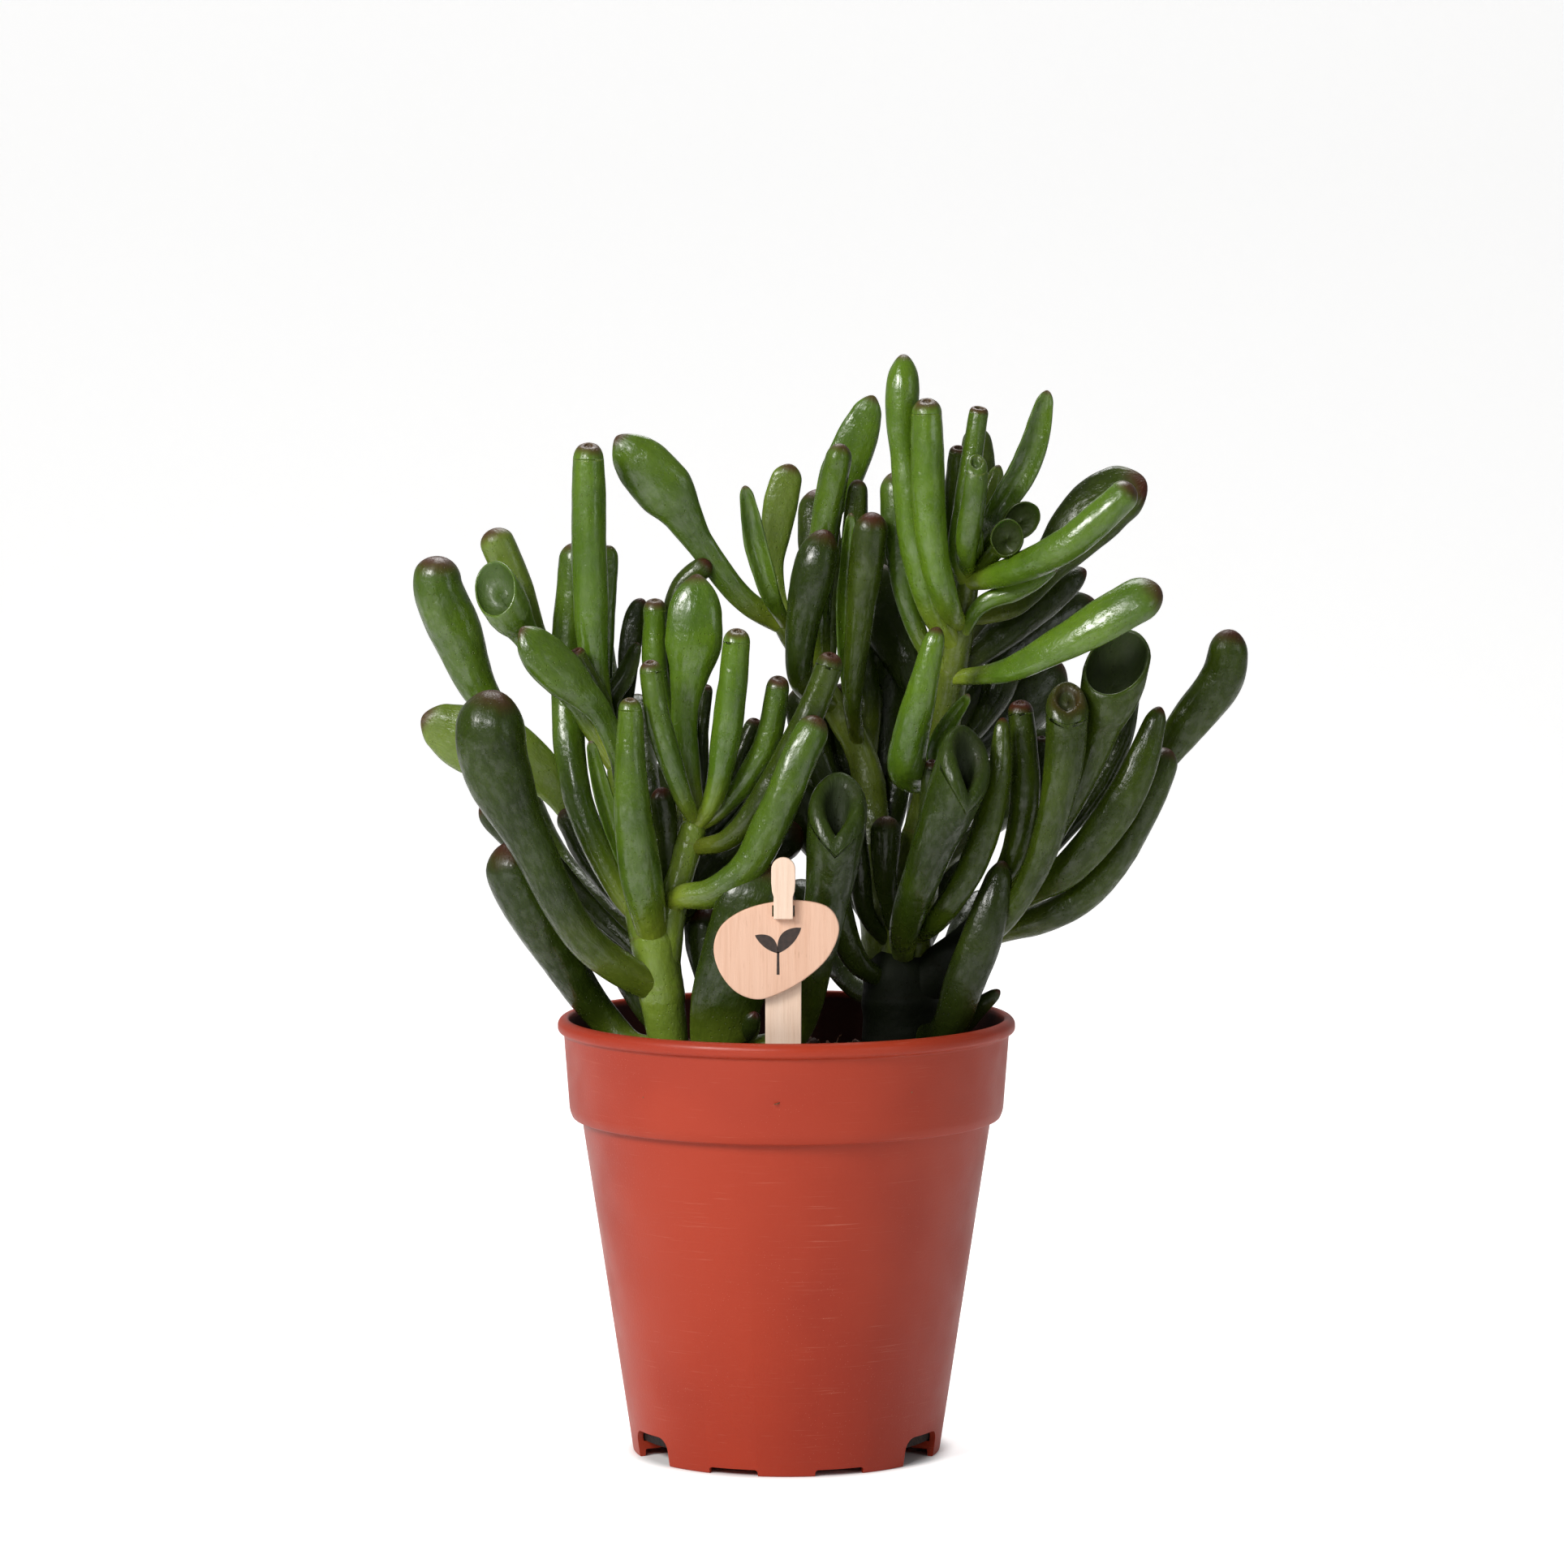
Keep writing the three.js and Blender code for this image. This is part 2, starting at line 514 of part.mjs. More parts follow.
const FRONT_LEAVES = [
  ['front', 5, 'trumpet', 11.6, 0.95, FRONT, [[1, -18, 8], [5.6, -23, 24], [8.8, -24, 42.5],
    [10.3, -23, 60]]],
  ['front', 4, 'tube', 15.4, 0.45, FRONT, [[-12.5, -18, 6], [-11.7, -19, 14], [-8.6, -20, 25],
    [-5.6, -20, 35], [-3.8, -19, 42.2]]],
];

const CENTRE_LEAVES = [
  ['centre', 87, 'ladle', 11.4, 0.5, FRONT, [[-6, 8, 89.8], [-11.3, 6, 95], [-17.2, 5, 103],
    [-22.6, 3, 111.5], [-33.2, 2, 124]]],
  ['centre', 85, 'paddle', 6.9, 0.5, FRONT, [[-2.4, 16, 96], [-1.6, 17, 108], [0.9, 17, 118]]],
  ['centre', 70, 'club', 8.4, 0.9, FRONT, [[3, 3, 76], [3, 0, 86], [5.3, -1, 97.5], [8, -1, 105.7]]],
  ['centre', 74, 'ladle', 8.8, 0.45, FRONT, [[6.6, 16, 92], [7.5, 17, 106], [13.5, 17, 122],
    [17.2, 16, 131.6]]],
  ['centre', 74, 'tube', 5.8, 0.9, FRONT, [[6.3, 8, 90], [7.5, 6, 105], [10.8, 4, 122.4]]],
  ['centre', 62, 'club', 6.8, 0.9, FRONT, [[13, 3, 72], [13.9, 0, 84], [15.5, -3, 99], [17, -4, 109.3]]],
  ['centre', 58, 'finger', 8, 0.95, BACK, [[16, 21, 72], [15, 32, 86], [14, 40, 104]]],
  ['centre', 72, 'paddle', 8.6, 0.6, BACK, [[8, 25, 84], [7, 36, 97], [6, 43, 112]]],
];

const RIGHT_LEAVES = [
  ['upper', 87, 'tube', 6.5, 1, FRONT, [[31, -7, 92], [28.3, -10, 103], [27.1, -11, 131.6]]],
  ['upper', 76, 'club', 6.8, 0.95, FRONT, [[27.2, 1, 82.5], [23.4, 1, 93], [21.9, 2, 106],
    [21.6, 3, 117]]],
  ['upper', 82, 'waisted', 6.7, 1, FRONT, [[28.6, -3, 90], [25, -6, 104], [22.6, -5, 124],
    [22.8, -4, 140]]],
  ['upper', 97, 'folded', 5.8, 0.8, FRONT, [[39.5, -1, 106.5], [47, -4, 119.3], [50.8, -5, 133]]],
  ['upper', 95, 'tube', 6.8, 0.9, FRONT_UP, [[44.8, -11, 98.6], [55, -18, 104.3], [66.7, -20, 115]]],
  ['upper', 89, 'paddle', 13.6, 0.45, FRONT_UP, [[44, 2, 91], [52, 4, 99.5], [61, 4, 109.5],
    [70.3, 3, 115.5]]],
  ['upper', 78, 'blade', 8.4, 0.7, FRONT_UP, [[40, 5, 83], [49, 8, 90.5], [59, 9, 97.5]]],
  ['upper', 76, 'club', 9.4, 0.6, FRONT_UP, [[43.6, -14, 79.5], [55, -20, 85.7], [65.8, -22, 92.2],
    [72, -22, 95.3]]],
  ['upper', 56, 'spire', 7.6, 0.9, FRONT, [[23.5, -10, 60], [24.7, -15, 69], [29.2, -17, 87.7]]],
  ['offshoot', 29, 'finger', 5.8, 1, FRONT, [[40.5, -5, 35], [44.5, -8, 43],
    [46.5, -10, 56], [45.4, -9, 73]]],
  ['upper', 20, 'trumpet', 11.4, 0.95, FRONT_AND_RIGHT, [[23.5, -14, 31], [28.5, -22, 46],
    [33.8, -24, 60.5], [36, -24, 68.5]]],
  ['upper', 24, 'blade', 5.8, 0.95, FRONT, [[30.5, -14, 32], [36.5, -16, 42.6], [41, -16, 58],
    [41.9, -15, 70]]],
  ['offshoot', 23, 'trumpet', 8.4, 0.95, FRONT, [[41, -9, 28.5], [48.6, -15, 41], [53.2, -18, 59],
    [54.4, -18, 77]]],
  ['offshoot', 31, 'cup', 12.6, 0.95, FRONT_AND_LEFT, [[44.5, -2, 38], [51, -6, 46], [57.2, -10, 57.5],
    [62.4, -11, 72.5], [65.2, -12, 86.5]]],
  ['offshoot', 28, 'blade', 7.6, 0.6, FRONT, [[46, -1, 33.5], [55.5, -7, 40],
    [66.5, -9, 55], [72.8, -8, 71.6]]],
  ['offshoot', 24, 'tube', 6.9, 0.95, FRONT, [[43, 1, 27], [50, 0, 29.2], [58, -1, 33.6], [65, -1, 42.2],
    [70.8, -1, 53], [74.9, 0, 62.8]]],
  ['offshoot', 27, 'knob', 8.6, 0.85, FRONT, [[43, 8, 30], [60, 11, 40], [72, 11, 56.5], [79, 10, 66.5],
    [86, 9, 76], [87.6, 8, 85.7]]],
  ['right', 5, 'blade', 8.4, 0.8, FRONT, [[31, -8, 8], [34.6, -12, 18], [39.6, -13, 32],
    [42.2, -12, 41.8]]],
  ['upper', 42, 'club', 8.6, 0.9, BACK, [[31, 20, 52], [35, 33, 62], [38, 44, 76]]],
  ['upper', 80, 'finger', 7, 0.95, BACK, [[39, 14, 87], [45, 26, 92], [51, 36, 98]]],
  ['upper', 36, 'club', 8.8, 0.9, BACK, [[37, 18, 44], [47, 29, 52], [54, 37, 65]]],
  ['right', 12, 'paddle', 9, 0.7, BACK, [[30, 18, 14], [35, 30, 20], [41.5, 41, 30]]],
  ['right', 22, 'finger', 8, 0.95, BACK, [[24, 20, 30], [27, 34, 40], [29, 47, 53]]],
];

const GROUPS = { left: LEFT_LEAVES, front: FRONT_LEAVES, centre: CENTRE_LEAVES, right: RIGHT_LEAVES };
const LEAF_COLOURS = { left: 0x6f8f38, front: 0x4c6a34, centre: 0x5f7f33, right: 0x587a30 };

/** A form's rows with one more row in the middle of each long span. */
function finer(rows) {
  return rows.flatMap((row, index) => {
    const next = rows[index + 1];
    if (!next || next[0] - row[0] < LONG_SPAN) return [row];
    return [row, [(row[0] + next[0]) / 2, (row[1] + next[1]) / 2]];
  });
}

/** The solid of one leaf, larger by grow all round. */
function leafSolid([stemName, height, formName, width, flatness, facing, points], grow = 0) {
  const form = FORMS[formName];
  const line = [onStem(stemName, height), ...points.map((point) => above(...point))];
  const curve = new THREE.CatmullRomCurve3(line, false, 'centripetal');
  return solidOf(loft({
    curve,
    rows: finer(form.rows),
    width,
    thickness: width * flatness,
    face: new THREE.Vector3(...facing).normalize(),
    sides: LEAF_SIDES,
    slant: form.slant ?? 0,
    groove: form.groove ?? 0,
    grow,
  }));
}

const placed = grownStems.map((grown) => grown);
for (const [group, leaves] of Object.entries(GROUPS)) {
  leaves.forEach((leaf, index) => {
    let solid = leafSolid(leaf);
    for (const neighbour of placed) {
      if (boxesMeet(solid, neighbour)) solid = mainBody(solid.subtract(neighbour));
    }
    placed.push(leafSolid(leaf, CLEARANCE));
    const number = String(index + 1).padStart(2, '0');
    addPiece(plant, `${group}_leaf_${number}`, geometryOf(solid), LEAF_COLOURS[group], 0.35);
  });
}

export default plant;
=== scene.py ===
"""Potted jade plant with tubular, red-tipped leaves in a nursery pot, with a wooden tag on a stake."""

import logging
import math
from dataclasses import dataclass, field
from enum import Enum
from typing import Callable, Iterable, Sequence

import bmesh
import bpy
from mathutils import Matrix, Vector, noise


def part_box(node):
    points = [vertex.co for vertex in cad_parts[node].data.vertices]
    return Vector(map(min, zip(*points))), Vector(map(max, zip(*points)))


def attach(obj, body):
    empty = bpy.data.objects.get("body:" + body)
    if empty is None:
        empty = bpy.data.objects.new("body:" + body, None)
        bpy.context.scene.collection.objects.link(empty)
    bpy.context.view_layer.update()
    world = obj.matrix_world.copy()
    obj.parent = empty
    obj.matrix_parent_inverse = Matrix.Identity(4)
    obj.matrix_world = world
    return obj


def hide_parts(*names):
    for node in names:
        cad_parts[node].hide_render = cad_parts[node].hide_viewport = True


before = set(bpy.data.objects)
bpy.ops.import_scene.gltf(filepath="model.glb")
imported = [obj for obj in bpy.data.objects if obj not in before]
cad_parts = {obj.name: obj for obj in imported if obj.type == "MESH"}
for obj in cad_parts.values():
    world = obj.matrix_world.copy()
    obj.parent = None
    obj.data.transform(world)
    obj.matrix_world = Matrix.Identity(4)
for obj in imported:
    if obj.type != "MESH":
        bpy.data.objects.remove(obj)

LOG = logging.getLogger("jade_plant")
MM = 0.001
TAU = 2 * math.pi
TINY = 1e-12
Row = tuple[float, float]
Point = tuple[float, float, float]
Colour = tuple[float, float, float, float]
Socket = bpy.types.NodeSocket
Sockets = dict[str, bpy.types.NodeSocket]


def srgb(red: int, green: int, blue: int) -> Colour:
    """Turn an 8-bit display colour into a linear one.

    Args:
        red: Red, 0 to 255.
        green: Green, 0 to 255.
        blue: Blue, 0 to 255.

    Returns:
        The linear colour with an alpha of 1.
    """

    def linear(value: int) -> float:
        """Undo the display curve for one channel."""
        share = value / 255
        return share / 12.92 if share <= 0.04045 else ((share + 0.055) / 1.055) ** 2.4

    return (linear(red), linear(green), linear(blue), 1.0)


def smooth(low: float, high: float, value: float) -> float:
    """Return 0 below low, 1 above high and a smooth rise between them."""
    share = min(1.0, max(0.0, (value - low) / (high - low)))
    return share * share * (3 - 2 * share)


# ---------------------------------------------------------------- paths, profiles and lofts


class Path:
    """A smooth centre line through given points, measured along its length."""

    def __init__(self, points: Sequence[Vector], steps: int = 16) -> None:
        """Sample a centripetal spline through the points.

        Args:
            points: The points passed through, in order.
            steps: Samples in each span.
        """
        first = points[0] * 2 - points[1]
        last = points[-1] * 2 - points[-2]
        line = [first, *points, last]
        self.samples: list[Vector] = []
        for index in range(len(points) - 1):
            a, b, c, d = line[index : index + 4]
            for step in range(steps):
                self.samples.append(self._span(a, b, c, d, step / steps))
        self.samples.append(points[-1].copy())
        self.reach = [0.0]
        for before, after in zip(self.samples, self.samples[1:]):
            self.reach.append(self.reach[-1] + (after - before).length)
        self.length = self.reach[-1]

    @staticmethod
    def _span(a: Vector, b: Vector, c: Vector, d: Vector, share: float) -> Vector:
        """Return the point at a share of the span from b to c."""
        gaps = [max(TINY, math.sqrt((q - p).length)) for p, q in ((a, b), (b, c), (c, d))]
        start = (b - a) / gaps[0] - (c - a) / (gaps[0] + gaps[1]) + (c - b) / gaps[1]
        end = (c - b) / gaps[1] - (d - b) / (gaps[1] + gaps[2]) + (d - c) / gaps[2]
        square = share * share
        cube = square * share
        return (
            b * (2 * cube - 3 * square + 1)
            + start * gaps[1] * (cube - 2 * square + share)
            + c * (3 * square - 2 * cube)
            + end * gaps[1] * (cube - square)
        )

    def point(self, along: float) -> Vector:
        """Return the point at a share of the length, carried straight on past the ends."""
        target = along * self.length
        if target >= self.length:
            return self.samples[-1] + self.tangent(1.0) * (target - self.length)
        index = 0
        while self.reach[index + 1] < target and index < len(self.reach) - 2:
            index += 1
        gap = max(TINY, self.reach[index + 1] - self.reach[index])
        return self.samples[index].lerp(self.samples[index + 1], (target - self.reach[index]) / gap)

    def tangent(self, along: float) -> Vector:
        """Return the direction of travel at a share of the length."""
        if along >= 1.0:
            return (self.samples[-1] - self.samples[-3]).normalized()
        step = 0.02
        return (self.point(min(0.9999, along + step)) - self.point(max(0.0, along - step))).normalized()


class Profile:
    """A value that follows rows of (share of the length, value) without overshooting them."""

    def __init__(self, rows: Sequence[Row]) -> None:
        """Work out a slope at each row.

        Args:
            rows: The rows in order of their first value.
        """
        self.rows = list(rows)
        spans = [(b[1] - a[1]) / (b[0] - a[0]) for a, b in zip(rows, rows[1:])]
        self.slopes = [spans[0]]
        for before, after in zip(spans, spans[1:]):
            self.slopes.append(0.0 if before * after <= 0 else 2 * before * after / (before + after))
        self.slopes.append(spans[-1])

    def at(self, along: float) -> float:
        """Return the value at a share of the length."""
        rows = self.rows
        along = min(rows[-1][0], max(rows[0][0], along))
        index = max(0, sum(1 for row in rows[1:-1] if row[0] <= along))
        (x0, y0), (x1, y1) = rows[index], rows[index + 1]
        width = x1 - x0
        t = (along - x0) / width
        return (
            y0 * (1 + 2 * t) * (1 - t) ** 2
            + self.slopes[index] * width * t * (1 - t) ** 2
            + y1 * t * t * (3 - 2 * t)
            - self.slopes[index + 1] * width * t * t * (1 - t)
        )


@dataclass
class Ring:
    """One ring of a loft.

    Attributes:
        points: The points round the ring.
        values: Named values shared by the points of the ring.
        reach: Distance along the surface, for the texture coordinates.
        girth: Length round the ring, for the texture coordinates.
    """

    points: list[Vector]
    values: dict[str, float]
    reach: float = 0.0
    girth: float = 0.01


def ring_mesh(name: str, rings: Sequence[Ring], start: Vector, end: Vector) -> bpy.types.Mesh:
    """Join rings of points and two poles into one closed mesh.

    Args:
        name: Name of the mesh.
        rings: The rings, all with as many points, running anticlockwise seen from the far end.
        start: The pole before the first ring.
        end: The pole after the last ring.

    Returns:
        A smooth-shaded mesh with the rings' values as point attributes and a UV map.
    """
    sides = len(rings[0].points)
    verts = [start, *(point for ring in rings for point in ring.points), end]
    last = len(verts) - 1
    faces: list[tuple[int, ...]] = []
    uvs: list[tuple[float, float]] = []

    def corner(row: int, side: int) -> tuple[float, float]:
        """Return the texture coordinates of a point of a ring."""
        return (side / sides * rings[row].girth, rings[row].reach)

    around = [(side, (side + 1) % sides) for side in range(sides)]
    for side, after in around:
        faces.append((0, 1 + after, 1 + side))
        uvs += [corner(0, side), corner(0, side + 1), corner(0, side)]
    for row in range(len(rings) - 1):
        base = 1 + row * sides
        for side, after in around:
            faces.append((base + side, base + after, base + sides + after, base + sides + side))
            uvs += [corner(row, side), corner(row, side + 1)]
            uvs += [corner(row + 1, side + 1), corner(row + 1, side)]
    base = 1 + (len(rings) - 1) * sides
    for side, after in around:
        faces.append((base + side, base + after, last))
        uvs += [corner(-1, side), corner(-1, side + 1), corner(-1, side)]

    mesh = bpy.data.meshes.new(name)
    mesh.from_pydata([tuple(vert) for vert in verts], [], faces)
    mesh.uv_layers.new(name="skin").data.foreach_set("uv", [value for uv in uvs for value in uv])
    for key in rings[0].values:
        column = [rings[0].values[key]]
        for ring in rings:
            column += [ring.values[key]] * sides
        column.append(rings[-1].values[key])
        mesh.attributes.new(key, "FLOAT", "POINT").data.foreach_set("value", column)
    smoothed(mesh)
    mesh.update()
    return mesh


def smoothed(mesh: bpy.types.Mesh) -> None:
    """Shade every face of a mesh smooth."""
    mesh.polygons.foreach_set("use_smooth", [True] * len(mesh.polygons))


def from_bmesh(name: str, shape: bmesh.types.BMesh) -> bpy.types.Mesh:
    """Turn an edited shape into a mesh, and free the shape."""
    mesh = bpy.data.meshes.new(name)
    shape.to_mesh(mesh)
    shape.free()
    return mesh


def thicken(shape: bmesh.types.BMesh, points: Iterable[Sequence[float]], depth: float) -> None:
    """Add a flat plate to a shape.

    Args:
        shape: The shape being edited.
        points: The corners of its front, anticlockwise seen from the front.
        depth: How far it runs back along Y.
    """
    face = shape.faces.new([shape.verts.new(point) for point in points])
    grown = bmesh.ops.extrude_face_region(shape, geom=[face])
    moved = [item for item in grown["geom"] if isinstance(item, bmesh.types.BMVert)]
    bmesh.ops.translate(shape, verts=moved, vec=(0, depth, 0))
    bmesh.ops.recalc_face_normals(shape, faces=shape.faces)


def in_scene(name: str, data: bpy.types.ID) -> bpy.types.Object:
    """Put a mesh, light or camera in the scene as an object at the origin."""
    thing = bpy.data.objects.new(name, data)
    bpy.context.scene.collection.objects.link(thing)
    return thing


def piece(name: str, mesh: bpy.types.Mesh, material: bpy.types.Material) -> bpy.types.Object:
    """Put a mesh in the scene with one material.

    Args:
        name: The piece's name.
        mesh: Its mesh, already in place.
        material: Its material.

    Returns:
        The new object, at the origin.
    """
    mesh.materials.clear()
    mesh.materials.append(material)
    return in_scene(name, mesh)


def settle(thing: bpy.types.Object, slot: str, *nodes: str) -> None:
    """Attach a finished piece to the root, hide the CAD nodes that it stands for and log its material slot.

    Args:
        thing: The piece.
        slot: The record's material slot.
        nodes: The CAD nodes that it stands for, if any.
    """
    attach(thing, "root")
    if nodes:
        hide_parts(*nodes)
    LOG.info("%s: %d faces, slot %s", thing.name, len(thing.data.polygons), slot)


def applied(thing: bpy.types.Object) -> bpy.types.Mesh:
    """Return the object's mesh with its modifiers applied, and take them off the object."""
    graph = bpy.context.evaluated_depsgraph_get()
    mesh = bpy.data.meshes.new_from_object(thing.evaluated_get(graph))
    thing.modifiers.clear()
    return mesh


def cut_by(thing: bpy.types.Object, cutters: Iterable[bpy.types.Object]) -> bpy.types.Mesh:
    """Return an object's mesh with closed shapes cut out of it, and remove those shapes."""
    cutters = list(cutters)
    for cutter in cutters:
        knife = thing.modifiers.new(cutter.name, "BOOLEAN")
        knife.operation, knife.solver, knife.object = "DIFFERENCE", "EXACT", cutter
    mesh = applied(thing)
    for cutter in cutters:
        bpy.data.objects.remove(cutter)
    return mesh


# ---------------------------------------------------------------- node helpers


class Graph:
    """A small helper that adds and links the nodes of one tree."""

    def __init__(self, tree: bpy.types.NodeTree) -> None:
        """Keep the tree."""
        self.tree = tree

    def add(self, kind: str, **settings: object) -> bpy.types.Node:
        """Add a node and set its plain properties.

        Args:
            kind: The node's type name.
            settings: Properties to set on it.

        Returns:
            The node.
        """
        node = self.tree.nodes.new(kind)
        for key, value in settings.items():
            setattr(node, key, value)
        return node

    def feed(self, socket: Socket, value: object) -> None:
        """Link a socket to an input, or set the input to a plain value."""
        if isinstance(value, bpy.types.NodeSocket):
            self.tree.links.new(value, socket)
        elif value is not None:
            socket.default_value = value

    def fill(self, node: bpy.types.Node, **values: object) -> bpy.types.Node:
        """Feed a node's named inputs, with underscores for the spaces, and return the node."""
        for key, value in values.items():
            self.feed(node.inputs[key.replace("_", " ")], value)
        return node

    def math(self, operation: str, a: object, b: object = None, c: object = None) -> Socket:
        """Return the result of a maths node."""
        node = self.add("ShaderNodeMath", operation=operation)
        for socket, value in zip(node.inputs, (a, b, c)):
            self.feed(socket, value)
        return node.outputs[0]

    def plus(self, a: object, b: object) -> Socket:
        """Return the sum of two values."""
        return self.math("ADD", a, b)

    def minus(self, a: object, b: object) -> Socket:
        """Return the first value less the second."""
        return self.math("SUBTRACT", a, b)

    def times(self, a: object, b: object) -> Socket:
        """Return the product of two values."""
        return self.math("MULTIPLY", a, b)

    def vector_math(self, operation: str, vector: object, other: object) -> bpy.types.Node:
        """Return a vector maths node; the second operand is a number where the vector is scaled."""
        node = self.add("ShaderNodeVectorMath", operation=operation)
        self.feed(node.inputs[0], vector)
        self.feed(node.inputs["Scale" if operation == "SCALE" else 1], other)
        return node

    def mix(self, factor: object, a: object, b: object, blend: str = "MIX") -> Socket:
        """Return the colour of a mix node."""
        node = self.add("ShaderNodeMix", data_type="RGBA", blend_type=blend, clamp_factor=True)
        self.feed(node.inputs[0], factor)
        self.feed(node.inputs[6], a)
        self.feed(node.inputs[7], b)
        return node.outputs[2]

    def fade(self, value: object, low: float, high: float, start: float = 0.0, end: float = 1.0) -> Socket:
        """Return a value mapped smoothly from one range to another."""
        node = self.add("ShaderNodeMapRange", interpolation_type="SMOOTHSTEP", clamp=True)
        for socket, item in zip(node.inputs, (value, low, high, start, end)):
            self.feed(socket, item)
        return node.outputs[0]

    def noise(self, vector: object, scale: object, detail: float = 2.0, rough: float = 0.5,
              distortion: float = 0.0) -> Socket:
        """Return the value of a noise texture."""
        node = self.add("ShaderNodeTexNoise")
        self.fill(node, Vector=vector, Scale=scale, Detail=detail, Roughness=rough, Distortion=distortion)
        return node.outputs[0]

    def cells(self, vector: object, scale: object) -> Socket:
        """Return the distance to the nearest of many scattered points."""
        return self.fill(self.add("ShaderNodeTexVoronoi"), Vector=vector, Scale=scale).outputs["Distance"]

    def stretch(self, vector: object, scale: Point) -> Socket:
        """Return a vector scaled along each axis."""
        return self.fill(self.add("ShaderNodeMapping"), Vector=vector, Scale=scale).outputs[0]

    def place(self) -> Socket:
        """Return the object coordinates, which are metres in the shared frame."""
        return self.add("ShaderNodeTexCoord").outputs["Object"]

    def attribute(self, name: str) -> Socket:
        """Return a named point value."""
        return self.add("ShaderNodeAttribute", attribute_name=name).outputs["Fac"]


def shader_group(name: str, inputs: dict[str, object], outputs: dict[str, str],
                 build: Callable[[Graph, Sockets], dict[str, object]]) -> bpy.types.NodeTree:
    """Make a shader node group once and return it each time.

    Args:
        name: Name of the group.
        inputs: Input names with their default values; a float, a colour or None for a vector.
        outputs: Output names with "Float" or "Color".
        build: Builds the inside and returns a value for each output.

    Returns:
        The group.
    """
    if name in bpy.data.node_groups:
        return bpy.data.node_groups[name]
    tree = bpy.data.node_groups.new(name, "ShaderNodeTree")
    for key, value in inputs.items():
        kind = "Vector" if value is None else "Color" if isinstance(value, tuple) else "Float"
        socket = tree.interface.new_socket(name=key, in_out="INPUT", socket_type=f"NodeSocket{kind}")
        if value is not None:
            socket.default_value = value
    for key, kind in outputs.items():
        tree.interface.new_socket(name=key, in_out="OUTPUT", socket_type=f"NodeSocket{kind}")
    graph = Graph(tree)
    source = graph.add("NodeGroupInput")
    results = build(graph, {socket.name: socket for socket in source.outputs if socket.name})
    sink = graph.add("NodeGroupOutput")
    for key, value in results.items():
        graph.feed(sink.inputs[key], value)
    return tree


def use_group(graph: Graph, tree: bpy.types.NodeTree, **values: object) -> bpy.types.Node:
    """Place a shader group in a material and feed its inputs.

    Args:
        graph: The material's graph.
        tree: The group.
        values: Input values, with underscores for spaces in the names.

    Returns:
        The group node.
    """
    return graph.fill(graph.add("ShaderNodeGroup", node_tree=tree), **values)


def new_material(name: str) -> tuple[bpy.types.Material, Graph, bpy.types.Node]:
    """Make a node material with a Principled shader.

    Args:
        name: The material's name.

    Returns:
        The material, its graph and its shader node.
    """
    material = bpy.data.materials.new(name)
    material.use_nodes = True
    graph = Graph(material.node_tree)
    return material, graph, material.node_tree.nodes["Principled BSDF"]


def bump(graph: Graph, height: Socket, distance: float) -> Socket:
    """Turn a height into a normal.

    Args:
        graph: The material's graph.
        height: The height, from 0 to 1.
        distance: What a height of 1 is, in metres.

    Returns:
        The normal.
    """
    return graph.fill(graph.add("ShaderNodeBump"), Strength=1.0, Distance=distance, Height=height).outputs[0]


# ---------------------------------------------------------------- finishes


def dust_group() -> bpy.types.NodeTree:
    """Return the shared group that scatters small pale grains over a surface."""

    def build(graph: Graph, given: Sockets) -> dict[str, object]:
        """Build thresholded cells broken up by a broad noise."""
        grain = graph.math("LESS_THAN", graph.cells(given["Vector"], given["Scale"]), given["Size"])
        patch = graph.fade(graph.noise(given["Vector"], 45.0, 3.0), 0.42, 0.62)
        return {"Mask": graph.times(grain, patch)}

    return shader_group("dust", {"Vector": None, "Scale": 900.0, "Size": 0.12}, {"Mask": "Float"}, build)


